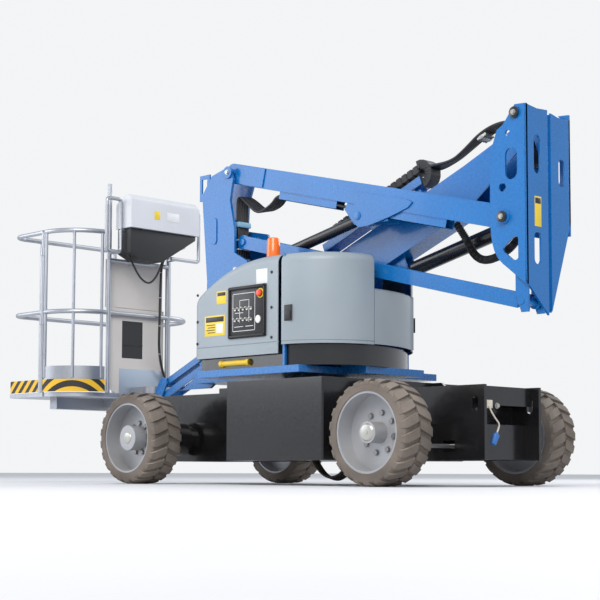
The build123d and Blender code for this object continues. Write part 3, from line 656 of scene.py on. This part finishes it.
def flat_plate(outlines, depth, turn, place):
    """A plate with holes: the first outline is its edge and the rest are cut out of it."""
    curve = bpy.data.curves.new("plate", "CURVE")
    curve.dimensions = "2D"
    curve.fill_mode = "BOTH"
    curve.extrude = depth / 2000
    for outline in outlines:
        spline = curve.splines.new("POLY")
        spline.points.add(len(outline) - 1)
        for point, (u, v) in zip(spline.points, outline):
            point.co = (u / 1000, v / 1000, 0, 1)
        spline.use_cyclic_u = True
    held = bpy.data.objects.new("plate", curve)
    bpy.context.scene.collection.objects.link(held)
    data = bpy.data.meshes.new_from_object(held)
    bpy.data.objects.remove(held)
    data.transform(Matrix.Translation(place) @ turn)
    return data


SIDE = Matrix(((1, 0, 0, 0), (0, 0, -1, 0), (0, 1, 0, 0), (0, 0, 0, 1)))
CROSS = Matrix(((0, 0, 1, 0), (1, 0, 0, 0), (0, 1, 0, 0), (0, 0, 0, 1)))


def add_data(shape, data):
    """Put a mesh's faces into a shape."""
    shape.mesh.from_mesh(data)
    bpy.data.meshes.remove(data)


def slot_outline(u, v, wide, high):
    """A slot with round ends, as an outline."""
    half = high / 2 - wide / 2
    return arc(u, v + half, wide / 2, 0, 180, 14) + arc(u, v - half, wide / 2, 180, 360, 14)


def make_upright(settings):
    """Channel of pierced plates with a curved open edge, in place of the plain one."""
    shape = Shape()
    front = [(UPRIGHT_BACK, 1987), (-1558, 1992), (-1479, 1895), (-1440, 1874), (-1398, 1763),
            (-1393, 1668), (-1393, 1400)]
    curve = [(-1396, 1340), (-1403, 1285), (-1418, 1235), (-1442, 1192), (-1474, 1160), (-1510, 1132)]
    foot = [(-1600, 1060), (UPRIGHT_BACK, 1034)]
    holes = [slot_outline(-1532, 1684, 77, 170), arc(-1511, 1849, 15, 0, 360, 23),
            arc(-1474, 1564, 23, 0, 360, 27)]
    shape_hole = [(-1574, 1288), (-1562, 1298), (-1540, 1294), (-1482, 1250), (-1474, 1240),
            (-1480, 1224), (-1540, 1176), (-1560, 1172), (-1574, 1182)]
    add_data(shape, flat_plate([front + curve + foot, *holes, shape_hole], UPRIGHT_PLATE, SIDE,
            at(0, UPRIGHT_HALF, 0)))
    far = front + [(-1440, 1330), (UPRIGHT_BACK, 1330)]
    add_data(shape, flat_plate([far, *holes], UPRIGHT_PLATE, SIDE, at(0, -UPRIGHT_HALF, 0)))
    near_back = [(194, 1984), (100, 1974), (8, 1980), (8, 893), (28, 909), (181, 1041), (194, 1041)]
    far_back = [(-20, 1968), (-110, 1952), (-194, 1960), (-194, 1404), (-20, 915)]
    add_data(shape, flat_plate([near_back, slot_outline(101, 1731, 57, 207), slot_outline(101, 1237, 57,
            170)], UPRIGHT_PLATE, CROSS, at(UPRIGHT_BACK + 6, 0, 0)))
    add_data(shape, flat_plate([far_back, slot_outline(-116, 1659, 57, 150)], UPRIGHT_PLATE, CROSS,
            at(UPRIGHT_BACK + 6, 0, 0)))
    shape.box(at(UPRIGHT_BACK + 12, -30, 910), at(UPRIGHT_BACK + 22, 18, 1960))
    for y0 in (37, 171):
        shape.prism([at(x, y0, z) for x, z in ((UPRIGHT_BACK + 4, 900), (UPRIGHT_BACK + 4, 1120),
                (-1545, 1120), (-1545, 1000), (-1580, 900))], Vector((0, 0.010, 0)))
    shape.rod(at(-1580, 40, 958), at(-1580, 184, 958), 0.0199)
    shape.prism([at(x, 26, z) for x, z in ((UPRIGHT_BACK + 4, 1290), (UPRIGHT_BACK + 4, 1560),
            (-1430, 1480), (-1430, 1340))], Vector((0, 0.010, 0)))
    shape.rod(at(-1485, 30, 1406), at(-1485, 206, 1406), 0.0245)
    shape.rod(at(-1485, 192, 1406), at(-1485, 206, 1406), 0.038, bevel=0.002)
    shape.rod(at(-1560, -202, 1948), at(-1560, 202, 1948), 0.0219)
    for y0 in (-118, -52):
        shape.prism([at(x, y0, z) for x, z in ((UPRIGHT_BACK + 4, 1410), (UPRIGHT_BACK + 4, 1520),
                (-1500, 1490), (-1445, 1480), (-1445, 1410), (-1500, 1400))], Vector((0, 0.010, 0)))
    made = shape.object("upright_plates", "boom_blue", "upright", "boom_blue")
    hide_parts("upright")


def make_platform_forms(settings):
    """Entry panel, control lid and box, and guard loops."""
    panel = Shape()
    x = PANEL_FACE
    corner = arc(172 - 110, 613 + 110, 110, 270, 360, 12)
    edge = [(-330, 613)] + corner + [(172, 1210), (-330, 1210)]
    window = [(-144, 860), (38, 860), (38, 1120), (-144, 1120)]
    add_data(panel, flat_plate([edge, window], 4, CROSS, at(x + 2, 0, 0)))
    panel.box(at(x, -330, 1206), at(x + 22, 172, 1210))
    panel.box(at(x + 18, -330, 1206), at(x + 22, 172, 1540))
    panel.object("entry_panel", "panel_beige", "platform", "box_white")
    low = Shape().box(at(x - 1.2, -326, 616), at(x, 60, 786), 0.0004)
    low.object("entry_panel_low", "panel_blue", "platform", "galvanised")
    insert = Shape().box(at(x + 4, -150, 854), at(x + 8, 44, 1126))
    insert.box(at(x + 0.5, -144, 950), at(x + 4, 38, 962))
    insert.object("entry_window", "label_black", "platform", "frame_black")
    box = Shape()
    face = [(118, 1570), (118, 1745), (-465, 1745), (-465, 1715), (-165, 1530), (28, 1530)]
    box.prism([at(1775, y, z) for y, z in face], Vector((0.147, 0, 0)))
    bmesh.ops.bevel(box.mesh, geom=box.mesh.edges[:], offset=0.006, segments=2, affect="EDGES",
            profile=0.5)
    box.object("control_lower", "black_plastic", "platform", "frame_black")
    lid = Shape()
    section = [(1752, 1745), (1752, 1950), (1800, 1985), (1925, 1930), (1925, 1745)]
    lid.prism([at(px, -480, z) for px, z in section], Vector((0, 0.610, 0)))
    top = [e for e in lid.mesh.edges if all(v.co.z > 1.9 for v in e.verts)]
    bmesh.ops.bevel(lid.mesh, geom=top, offset=0.018, segments=4, affect="EDGES", profile=0.5)
    made = lid.object("control_lid", "box_white", "platform", "box_white")
    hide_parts("control_box")
    loops = Shape()
    for corners in (((147, 1727), (147, 1577), (266, 1577), (266, 1943), (147, 1943), (147, 1735)),
                    ((-300, 1577), (-556, 1577), (-556, 1943), (-497, 1943), (-497, 1731))):
        points = [at(LOOP_X, y, z) for y, z in corners]
        loops.sweep(round_corners(points, 0.028), None, 16, 0.013)
    loops.rod(at(LOOP_X, -497, 1731), at(LOOP_X, 147, 1731), 0.010)
    for y in (170, -350):
        loops.rod(at(LOOP_X, y, 1577), at(1946, y, 1577), 0.011)
    loops.object("guard_loops", "galvanised", "platform", "galvanised")


def round_corners(points, r):
    """A path with its corners rounded."""
    made = [points[0]]
    for before, here, after in zip(points, points[1:], points[2:]):
        back = (before - here).normalized()
        ahead = (after - here).normalized()
        reach = min(r, (before - here).length / 2, (after - here).length / 2)
        for i in range(7):
            t = i / 6
            start = (here + back * reach) * (1 - t) ** 2
            end = (here + ahead * reach) * t ** 2
            made.append(start + here * 2 * t * (1 - t) + end)
    made.append(points[-1])
    return made


def make_chain(settings):
    """Open channel on feet over the boom, and the link chain that lies in it."""
    def block(shape, span, rise, y):
        corners = [at_boom(span[0], rise[0], y[0]), at_boom(span[1], rise[0], y[0]),
                at_boom(span[1], rise[1], y[0]), at_boom(span[0], rise[1], y[0])]
        shape.prism(corners, Vector((0, (y[1] - y[0]) / 1000, 0)))

    rail = Shape()
    block(rail, (860, 1700), (96, 100), (-130, -30))
    block(rail, (860, 1700), (96, 150), (-130, -126))
    block(rail, (860, 1700), (96, 150), (-34, -30))
    for start in (894, 1280, 1650):
        block(rail, (start, start + 40), (22, 98), (-110, -50))
    rail.object("hose_rail", "boom_blue", "primary_boom", "boom_blue")
    chain = Shape()
    for low in (100.3, 176.3):
        block(chain, (856, 1680), (low + 4, low + 42), (-118, -42))
        for i in range(17):
            start = CHAIN_START + LINK_PITCH * i
            block(chain, (start, start + LINK_LENGTH), (low, low + 46), (-122, -38))
    for i in range(9):
        a = math.radians(90 + 180 * (i + 0.5) / 9)
        d, rise = 856 + 61 * math.cos(a), 161.3 + 61 * math.sin(a) - 0.3
        u = Vector((math.cos(a) * math.cos(BOOM_SLOPE) + math.sin(a) * math.sin(BOOM_SLOPE), 0,
                -math.cos(a) * math.sin(BOOM_SLOPE) + math.sin(a) * math.cos(BOOM_SLOPE)))
        v = Vector((u.z, 0, -u.x))
        c = at_boom(d, rise, -122)
        chain.prism([c + u * 0.023 + v * 0.015, c + u * 0.023 - v * 0.015, c - u * 0.023 - v * 0.009,
                c - u * 0.023 + v * 0.009], Vector((0, 0.084, 0)))
    chain.object("hose_chain", "black_plastic", "primary_boom", "frame_black")


def make_arm_trim(settings):
    """Doublers and hose trays of the secondary arm."""
    shape = Shape()
    for y0 in (42, 170):
        shape.prism([at_arm(d, r, y0) for d, r in ((40, -58), (40, 58), (300, 58), (300, -58))],
                Vector((0, 0.008, 0)))
    outer = [(-405, 1688), (-800, 1590), (-834, 1570), (-800, 1545), (-677, 1512), (-500, 1478),
            (-420, 1478), (-378, 1530)]
    shape.prism([at(x, 169, z) for x, z in outer], Vector((0, 0.010, 0)))
    shape.rod(at(-420, 176, 1545), at(-420, 184, 1545), 0.024, bevel=0.001)
    for span in ((455, 955), (1352, 1812)):
        for y0, y1, r0, r1 in ((96, 164, -112, -108.5), (96, 99, -112, -62), (161, 164, -112, -62)):
            corners = [at_arm(span[0], r0, y0), at_arm(span[1], r0, y0), at_arm(span[1], r1, y0),
                    at_arm(span[0], r1, y0)]
            shape.prism(corners, Vector((0, (y1 - y0) / 1000, 0)))
    shape.object("arm_trim", "boom_blue", "secondary_arm", "boom_blue")
    rib = Shape().prism([at(x, 205, z) for x, z in slot_outline(800, 1593, 48, 168)],
            Vector((0, 0.008, 0)))
    rib.object("tower_rib", "boom_blue", "turntable", "boom_blue")


def make_ground_controls(settings):
    """Control face in the near cover, its stop button, and the yellow release handle."""
    y = CONTROL_FACE
    case = Shape().box(at(-128, y - 1, 840), at(190, y + 4, 1140), 0.006)
    case.object("ground_controls", "black_plastic", "turntable", "frame_black")
    button = Shape().rod(at(-85, y + 3, 1088), at(-85, y + 16, 1088), 0.010, 24)
    button.rod(at(-85, y + 14, 1088), at(-85, y + 27, 1088), 0.020, 32, 0.019, 0.004)
    button.object("stop_button", "stop_red", "turntable", "amber")
    handle = Shape().rod(at(40, 592, 703), at(290, 592, 703), 0.017, 24)
    for x in (52, 278):
        handle.rod(at(x - 12, 592, 703), at(x + 12, 592, 703), 0.021, 24, bevel=0.002)
    handle.object("release_handle", "yellow", "turntable", "amber")
    lamp = Shape()
    z = roof(156)
    lamp.rod(at(156, 300, z - 4), at(156, 300, z + 70), 0.024, 28)
    lamp.rod(at(156, 300, z + 66), at(156, 300, z + 86), 0.046, 36, bevel=0.003)
    lamp.object("beacon_foot", "black_plastic", "turntable", "frame_black")
    glass = Shape().rod(at(156, 300, z + 86), at(156, 300, 1468), 0.042, 40, 0.038, 0.014)
    made = glass.object("beacon_glass", "amber", "turntable", "amber")
    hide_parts("beacon")


# Pieces


def dress_cad():
    """Each node takes the finish of its slot."""
    slots = {entry["node"]: entry["material_slot"] for entry in frame["record"]["subparts"]}
    for name, node in frame["nodes"].items():
        node.data.materials.clear()
        node.data.materials.append(MATERIALS[slots[name]])


def make_wheels(settings):
    """Lug nuts, hub caps and valve stems."""
    for end, x in (("drive", AXLE_X), ("steer", -AXLE_X)):
        for side, sign in (("left", 1), ("right", -1)):
            body = f"{end}_wheel_{side}"
            node = f"{end}_rim_{side}"
            count, circle = (9, 92.0) if end == "drive" else (8, 105.0)
            places = []
            for i in range(count):
                a = 2 * math.pi * (i + 0.25) / count
                start = at(x + circle * math.cos(a), sign * 900, TYRE_R + circle * math.sin(a))
                places.append(hit(node, start, (0, -sign, 0)))
            hex_bolts(f"{end}_nuts_{side}", places, (0, sign, 0), 0.0125, body, "steel")
            tip = hit(node, at(x, sign * 900, TYRE_R), (0, -sign, 0))
            if tip is None:
                continue
            cap = Shape()
            out = Vector((0, sign * 0.001, 0))
            if end == "steer":
                cap.rod(tip - out, tip + out * 10, 0.047, 40, 0.040, 0.003)
                cap.rod(tip + out * 9, tip + out * 13, 0.012, 6)
            else:
                cap.rod(tip - out, tip + out * 4, 0.034, 40, 0.031, 0.001)
            cap.object(f"{end}_cap_{side}", "zinc", body, "rim_grey")


def make_covers(settings):
    """Labels, the ground control face and small hardware on the grey covers."""
    face = 621.2

    def plate(name, x, z, material, thick=0.9):
        y = face - 1
        shape = Shape().box(at(x[0], y - 0.2, z[0]), at(x[1], y + thick, z[1]), 0.0003)
        return shape.object(name, material, "turntable", "yellow"
                if "yellow" in material else "box_white")

    plate("label_side_upper", (-134, -42), (1142, 1226), "label_white")
    plate("label_side_small", (215, 300), (1052, 1128), "label_yellow")
    plate("label_side_small_band", (222, 293), (1100, 1121), "label_black", 1.2)
    plate("label_side_large", (226, 404), (868, 988), "label_yellow")
    plate("label_side_large_band", (236, 394), (950, 980), "label_black", 1.2)
    plate("label_side_large_field", (244, 300), (884, 940), "label_white", 1.2)
    lines = Shape()
    for i in range(4):
        z = 936 - i * 15
        lines.box(at(312, face - 1, z - 5), at(388 - 11 * (i % 2), face + 0.3, z), 0)
    lines.object("label_side_large_lines", "label_black", "turntable", "black_plastic")
    y = 625.5
    bezel = Shape()
    for x, z in (((-122, -112), (846, 1134)), ((176, 186), (846, 1134)), ((-122, 186), (846, 856)),
            ((-122, 186), (1124, 1134))):
        bezel.box(at(x[0], y - 1, z[0]), at(x[1], y + 9, z[1]), 0.002)
    bezel.object("control_bezel", "black_plastic", "turntable", "black_plastic")
    panel = Shape().box(at(-104, y - 0.5, 866), at(168, y + 2, 1114), 0.001)
    panel.object("control_face", "label_black", "turntable", "black_plastic")
    drawn = Shape()
    for x, z in (((-40, 150), (1096, 1099)), ((-40, 150), (880, 883)), ((147, 150), (880, 1099)),
            ((-40, -37), (880, 1099)),
                 ((10, 13), (930, 1060)), ((10, 90), (1057, 1060)), ((60, 130), (985, 988)), ((88, 91),
                         (930, 1060)),
                 ((-25, 40), (905, 908)), ((60, 135), (905, 908))):
        drawn.box(at(x[0], y + 1.8, z[0]), at(x[1], y + 2.6, z[1]))
    drawn.object("control_lines", "label_white", "turntable", "box_white")
    knobs = Shape()
    for i in range(5):
        for j in range(2):
            place = at(-10 + 34 * i, y + 2, 945 + 62 * j)
            knobs.rod(place, place + Vector((0, 0.006, 0)), 0.009, 20)
            knobs.rod(place, place + Vector((0, 0.020, 0.007)), 0.0036, 12, 0.0046)
    knobs.object("control_switches", "zinc", "turntable", "steel")
    gauge = Shape().rod(at(-70, y + 1.5, 940), at(-70, y + 8, 940), 0.024, 36, bevel=0.002)
    gauge.object("control_gauge", "zinc", "turntable", "steel")
    dial = Shape().rod(at(-70, y + 8, 940), at(-70, y + 8.8, 940), 0.020, 36)
    dial.object("control_dial", "label_white", "turntable", "box_white")
    collar = Shape().ring(at(-85, y + 3, 1088), (0, 1, 0), 0.024, 0.004)
    collar.object("stop_collar", "label_yellow", "turntable", "yellow")
    screws = []
    for node, sign in (("front_cover_left", 1), ("front_cover_right", -1)):
        for x, z in ((470, 1120), (470, 960), (470, 830), (-170, 1200), (-170, 1000), (-170, 830)):
            screws.append((node, sign, x, z))
    for sign, side in ((1, "left"), (-1, "right")):
        places = [hit(n, at(x, s * 900, z), (0, -s, 0)) for n, s, x, z in screws if s == sign]
        hex_bolts(f"cover_screws_{side}", places, (0, sign, 0), 0.006, "turntable", "black_plastic")
    for side, sign in (("left", 1), ("right", -1)):
        latch = hit(f"tail_cover_{side}", at(-300, sign * 900, 960), (0, -sign, 0))
        if latch is None:
            continue
        handle = Shape()
        out = Vector((0, sign * 0.001, 0))
        handle.box(latch + Vector((-0.030, 0, -0.045)) - out,
                latch + Vector((0.030, 0, 0.045)) + out * 4, 0.001)
        handle.box(latch + Vector((-0.022, 0, -0.036)) + out * 3,
                latch + Vector((0.022, 0, 0.010)) + out * 9, 0.002)
        handle.object(f"tail_latch_{side}", "black_plastic", f"tail_cover_{side}", "black_plastic")


def make_chassis(settings):
    """Socket, plug, cord, low hoses and small hardware on the chassis."""
    socket = hit("steer_frame", at(-1700, 169, 433), (1, 0, 0))
    if socket is not None and socket.x < at(-1300, 0, 0).x:
        x = socket.x * 1000 - SHIFT_X
        case = Shape().box(at(x - 16, 136, 412), at(x + 0.5, 202, 456), 0.004)
        case.box(at(x - 21, 146, 420), at(x - 14, 192, 450), 0.003)
        case.object("charge_socket", "cream", "chassis", "box_white")
        places = [at(x, 223, 431), at(x, 82, 428)]
        hex_bolts("cross_bolts", places, (-1, 0, 0), 0.011, "chassis")
        points = [at(x - 18, 169, 420), at(x - 26, 168, 400), at(x - 26, 130, 360), at(x - 20, 84, 330),
                at(x - 16, 96, 296), at(x - 16, 112, 270)]
        plug = Shape().rod(at(x - 16, 112, 272), at(x - 16, 138, 222), 0.020, 24, 0.016, 0.003)
        plug.rod(at(x - 16, 106, 283), at(x - 16, 113, 269), 0.011, 20, 0.017)
        plug = plug.object("charge_plug", "plug_blue", "chassis", "boom_blue")
        hose("charge_cord", points, 0.0045, "chassis", material="cream", slot="box_white")
    low = [at(-120, 250, 215), at(-190, 262, 120), at(-300, 282, 38), at(-420, 300, 30),
            at(-540, 318, 120), at(-640, 330, 205)]
    for i, shift in enumerate((0, 24, 48)):
        points = [p + Vector((0.0, shift / 1000, shift / 4000)) for p in low]
        hose(f"low_hose_{i}", points, 0.008, "chassis")


def make_linkage(settings):
    """Hoses, ties, clamps and pin bolts on the tower, the arm and the upright."""
    for i in range(5):
        y = 70 + i * 20
        points = [at(640, y, 1300), at(634, y, 1450), at(640 - 2 * i, y, 1560), at(646, y, 1700),
                at(640, y, 1810),
                  at(560, y, 1770 - 5 * i), at(455, y, 1690 - 6 * i), at(330, y, 1710), at_arm(420, -92,
                          y), at_arm(470, -86, y)]
        hose(f"tower_hose_{i}", points, 0.009, joint=("turntable", "secondary_arm"))
    wrap = Shape().box(at(616, 58, 1606), at(664, 163, 1640), 0.006)
    wrap.object("hose_clamp", "clamp_blue", "turntable", "boom_blue")
    for i, z in enumerate((1400, 1462, 1520)):
        tie = Shape().box(at(621, 59, z), at(651, 162, z + 9), 0.003)
        tie.object(f"hose_tie_{i}", "tie_white", "turntable", "box_white")
    for i in range(4):
        y = 104 + i * 17
        points = [at_arm(940, -86, y), at_arm(1000, -86, y), at_arm(1090, -96, y), at_arm(1200, -112, y),
                at_arm(1300, -92, y), at_arm(1370, -86, y)]
        hose(f"arm_hose_{i}", points, 0.0085, "secondary_arm")
    pins = [("secondary_arm", "turntable", "riser", 670, 1951), ("lift", "turntable", "riser", 600, 1330)]
    for name, body, node, x, z in pins:
        tip = hit(node, at(x, 900, z), (0, -1, 0))
        if tip is not None:
            hex_bolts(f"{name}_pin_bolt", [tip], (0, 1, 0), 0.011, body)
    for name, x, z in (("arm_end", -1485, 1406), ("boom_pivot", -1560, 1948)):
        tip = hit("upright", at(x, 900, z), (0, -1, 0))
        if tip is None:
            continue
        cap = Shape().rod(tip - Vector((0, 0.001, 0)), tip + Vector((0, 0.007, 0)), 0.030, 32,
                bevel=0.002)
        cap.object(f"{name}_cap", "cylinder_black", "upright", "cylinder_black")
        hex_bolts(f"{name}_bolt", [tip + Vector((0, 0.007, 0))], (0, 1, 0), 0.010, "upright")
    back = hit("upright", at(-2000, 98, 1429), (1, 0, 0))
    if back is not None:
        x = back.x * 1000 - SHIFT_X
        label = Shape().box(at(x - 0.8, 70, 1350), at(x + 0.2, 126, 1508), 0.0002)
        label.object("upright_label", "label_yellow", "upright", "yellow")
        band = Shape().box(at(x - 1.1, 74, 1470), at(x, 122, 1500), 0.0002)
        band.object("upright_label_band", "label_black", "upright", "black_plastic")
    sleeve = [at_arm(1790, -70, 60), at(-1090, 12, 1350), at(-1120, 0, 1270), at(-1190, -4, 1222),
            at(-1300, -2, 1236), at(-1420, 0, 1300), at(-1470, 0, 1380)]
    hose("corrugated_sleeve", sleeve, 0.021, joint=("secondary_arm", "upright"), material="sleeve",
            ribs=0.0028)


def make_boom(settings):
    """Hoses and fittings over the boom's foot, and the line on its top edge."""
    for i in range(5):
        y = -118 + i * 18
        points = [at(-1500, y * 0.5 - 40, 1700), at(-1470, y * 0.6 - 30, 1830),
                at(-1420, y * 0.8, 1935 + 4 * i), at(-1300, y, 1975 + 3 * i),
                  at(-1150, y, 1955), at(-1020, y, 1888 - 6 * i), at(-930, y, 1842 - 6 * i), at_boom(770,
                          150 + 4 * i, y), at_boom(840, 190, y)]
        hose(f"boom_hose_{i}", points, 0.0095, joint=("upright", "primary_boom"))
    fittings = Shape()
    for i in range(4):
        y = -115 + i * 20
        start = at(-1180, y, 1940)
        end = at(-1120, y, 1915)
        fittings.rod(start, end, 0.014, 6)
        fittings.rod(start + (end - start) * 0.3, start + (end - start) * 0.7, 0.017, 20)
    fittings.object("boom_fittings", "zinc", "primary_boom", "steel")
    top = Shape().sweep([at_boom(60, 25, -20), at_boom(1500, 25, -20)], [0.005, 0.005], 10)
    top.object("boom_line", "hose_black", "primary_boom", "black_plastic")


def make_platform(settings):
    """Labels, stripes, controls, cables and small hardware of the platform."""
    centre = at(2245, 190, 0)
    strip = Shape()
    low, high, r0, r1 = 0.616, 0.700, 0.3175, 0.3195
    loops = []
    for i in range(31):
        a = math.radians(93 + 84 * i / 30)
        out = Vector((math.cos(a), math.sin(a), 0))
        loops.append([strip.mesh.verts.new(centre + out * r + Vector((0, 0, z))) for r,
                z in ((r0, low), (r1, low), (r1, high), (r0, high))])
    strip._skin(loops, False)
    strip.mesh.faces.new(list(reversed(loops[0])))
    strip.mesh.faces.new(loops[-1])
    strip.object("gate_stripes", "hazard", "gate", "yellow")
    edge = Shape().box(at(2285, 506.3, 616), at(2620, 508.3, 700))
    edge.object("side_stripes", "hazard", "platform", "yellow")
    x = 1752
    Shape().box(at(x - 0.8, -290, 1820), at(x + 0.3, -180, 1880), 0.0002).object("cover_label_white",
            "label_white", "platform", "box_white")
    Shape().box(at(x - 0.8, -120, 1820), at(x + 0.3, -70, 1880), 0.0002).object("cover_label_yellow",
            "label_yellow", "platform", "yellow")
    leave = nearest(at(1815, 96, 1590), "control_box", "platform_frame")
    back = nearest(at(1825, -225, 1575), "control_box", "platform_frame")
    hose("control_cable_front", [leave, at(1820, 108, 1572), at(1830, 60, 1510), at(1842, -20, 1410),
            at(1846, -105, 1375), at(1842, -170, 1440),
                           at(1830, -205, 1540), back], 0.007, "platform")
    leave = nearest(at(1850, -264, 1590), "control_box", "platform_frame")
    foot = nearest(at(1915, -262, 720), "platform_frame", "platform_floor")
    hose("control_cable_rear", [leave, at(1905, -264, 1560), at(1915, -262, 1430), at(1915, -256, 1144),
            at(1915, -250, 860), foot],
         0.009, "platform")
    ties = Shape()
    for z in (1480, 1300, 1100, 900):
        ties.ring(at(1915, -256, z), (0, 0, 1), 0.0105, 0.002, 20, 6)
    ties.object("cable_ties", "tie_white", "platform", "box_white")
    stick = Shape()
    for y in (-360, -120, 40):
        stick.rod(at(1895, y, 1925), at(1903, y, 1975), 0.010, 20, 0.013, 0.003)
    stick.object("control_sticks", "black_plastic", "platform", "black_plastic")
    node = "platform_panel"
    for i, (y, z) in enumerate(((-300, 1500), (140, 1500), (-300, 1250), (140, 1250))):
        place = hit(node, at(1700, y, z), (1, 0, 0))
        if place is not None:
            hex_bolts(f"panel_bolt_{i}", [place], (-1, 0, 0), 0.006, "platform")


def make_stage(settings):
    """Floor, lights, background and camera."""
    scene = bpy.context.scene
    scene.view_settings.view_transform = "Standard"
    floor = Shape().box(Vector((-40, -40, -0.02)), Vector((40, 40, 0)))
    ground = finish("floor", (0.74, 0.74, 0.75), 0.62, dust=0.0, bump=0.0, mottle=0.015)
    floor.object("floor", "floor", None, smooth=False)
    world = bpy.data.worlds.new("backdrop")
    scene.world = world
    world.use_nodes = True
    tree = world.node_tree
    tree.nodes.clear()
    sky = tree.nodes.new("ShaderNodeBackground")
    out = tree.nodes.new("ShaderNodeOutputWorld")
    path = tree.nodes.new("ShaderNodeLightPath")
    colour = mix_colour(tree, path.outputs["Is Camera Ray"], (0.62, 0.65, 0.70, 1), (0.90, 0.91, 0.92, 1))
    tree.links.new(colour, sky.inputs["Color"])
    tree.links.new(sky.outputs[0], out.inputs[0])
    for name, place, size, power, tint in (
        ("key", (-4.5, 6.0, 6.5), 5.0, settings.key_power, (1.0, 0.98, 0.95)),
        ("fill", (6.0, 5.0, 3.5), 5.0, settings.key_power * 0.35, (0.93, 0.96, 1.0)),
        ("rim", (-1.0, -6.5, 5.0), 5.0, settings.key_power * 0.45, (1.0, 1.0, 1.0)),
    ):
        data = bpy.data.lights.new(name, "AREA")
        data.energy = power
        data.size = size
        data.color = tint
        light = bpy.data.objects.new(name, data)
        scene.collection.objects.link(light)
        light.location = place
        light.rotation_mode = "QUATERNION"
        light.rotation_quaternion = (Vector((0, 0, 0.9)) - Vector(place)).to_track_quat("-Z", "Y")
    data = bpy.data.cameras.new("camera")
    camera = bpy.data.objects.new("camera", data)
    scene.collection.objects.link(camera)
    data.lens = settings.lens
    data.sensor_width = 36.0
    data.shift_y = 0.0886
    yaw, pitch, roll = math.radians(-44.3997), math.radians(4.6148), 0.003
    ahead = Vector((math.cos(yaw) * math.cos(pitch), math.sin(yaw) * math.cos(pitch), math.sin(pitch)))
    right = Vector((math.sin(yaw), -math.cos(yaw), 0))
    up = right.cross(ahead)
    across = right * math.cos(roll) + up * math.sin(roll)
    upward = up * math.cos(roll) - right * math.sin(roll)
    turn = Matrix((across, upward, -ahead)).transposed()
    camera.matrix_world = Matrix.Translation((-6.6637, 6.2553, 0.0775)) @ turn.to_4x4()
    data.clip_start = 0.1
    data.clip_end = 200
    scene.camera = camera


class LiftSettings(bpy.types.PropertyGroup):
    """What can be set before the machine is dressed."""

    dust: bpy.props.FloatProperty(name="Dust", description="How dusty the machine is", default=1.0,
            min=0.0, max=2.0, subtype="FACTOR")
    key_power: bpy.props.FloatProperty(name="Key light", description="Power of the main light",
            default=520.0, min=0.0, unit="POWER")
    lens: bpy.props.FloatProperty(name="Lens", description="Focal length of the camera", default=88.02,
            min=10.0, unit="CAMERA")


def operator(idname, label, doc, action):
    """A class that runs one builder."""

    def execute(self, context):
        action(context.scene.boom_lift)
        return {"FINISHED"}

    return type("LIFT_OT_" + idname, (bpy.types.Operator,),
                {"bl_idname": "boom_lift." + idname, "bl_label": label, "__doc__": doc,
                        "execute": execute})


def finishes(settings):
    """Finishes and their use on the CAD pieces."""
    make_finishes(settings)
    dress_cad()


OPERATORS = [
    operator("finishes", "Finishes", "Make the finishes and put them on the CAD pieces", finishes),
    operator("wheels", "Wheels", "Add nuts and hub caps", make_wheels),
    operator("covers", "Covers", "Add labels, controls and latches", make_covers),
    operator("chassis", "Chassis", "Add the socket, cord and low hoses", make_chassis),
    operator("linkage", "Linkage", "Add hoses and pin hardware", make_linkage),
    operator("boom", "Boom", "Add hoses and fittings over the boom", make_boom),
    operator("platform", "Platform", "Add labels, stripes, cables and controls", make_platform),
    operator("hood", "Hood", "Make the rounded covers, skirt and shelf", make_hood),
    operator("tyres", "Tyres", "Make the treaded tyres", make_tyres),
    operator("upright", "Upright", "Make the pierced upright", make_upright),
    operator("platform_forms", "Platform forms", "Make the panel, control lid and loops",
            make_platform_forms),
    operator("chain", "Hose chain", "Make the hose rail and chain", make_chain),
    operator("arm_trim", "Arm trim", "Make the arm's doublers and trays", make_arm_trim),
    operator("ground_controls", "Ground controls", "Make the control face, handle and beacon",
            make_ground_controls),
    operator("stage", "Stage", "Add floor, lights and camera", make_stage),
]


class LIFT_PT_panel(bpy.types.Panel):
    """Sidebar panel with the settings and the builders."""

    bl_idname = "LIFT_PT_panel"
    bl_label = "Boom Lift"
    bl_space_type = "VIEW_3D"
    bl_region_type = "UI"
    bl_category = "Boom Lift"

    def draw(self, context):
        for name in ("dust", "key_power", "lens"):
            self.layout.prop(context.scene.boom_lift, name)
        for cls in OPERATORS:
            self.layout.operator(cls.bl_idname)


CLASSES = [LiftSettings, *OPERATORS, LIFT_PT_panel]


def register():
    """Add the classes and the scene's settings."""
    for cls in CLASSES:
        bpy.utils.register_class(cls)
    bpy.types.Scene.boom_lift = bpy.props.PointerProperty(type=LiftSettings)


def unregister():
    """Take the classes and settings away."""
    del bpy.types.Scene.boom_lift
    for cls in reversed(CLASSES):
        bpy.utils.unregister_class(cls)


def main():
    """Dress the machine and set the stage."""
    register()
    for cls in OPERATORS:
        group, name = cls.bl_idname.split(".")
        getattr(getattr(bpy.ops, group), name)()


if __name__ == "__main__":
    main()
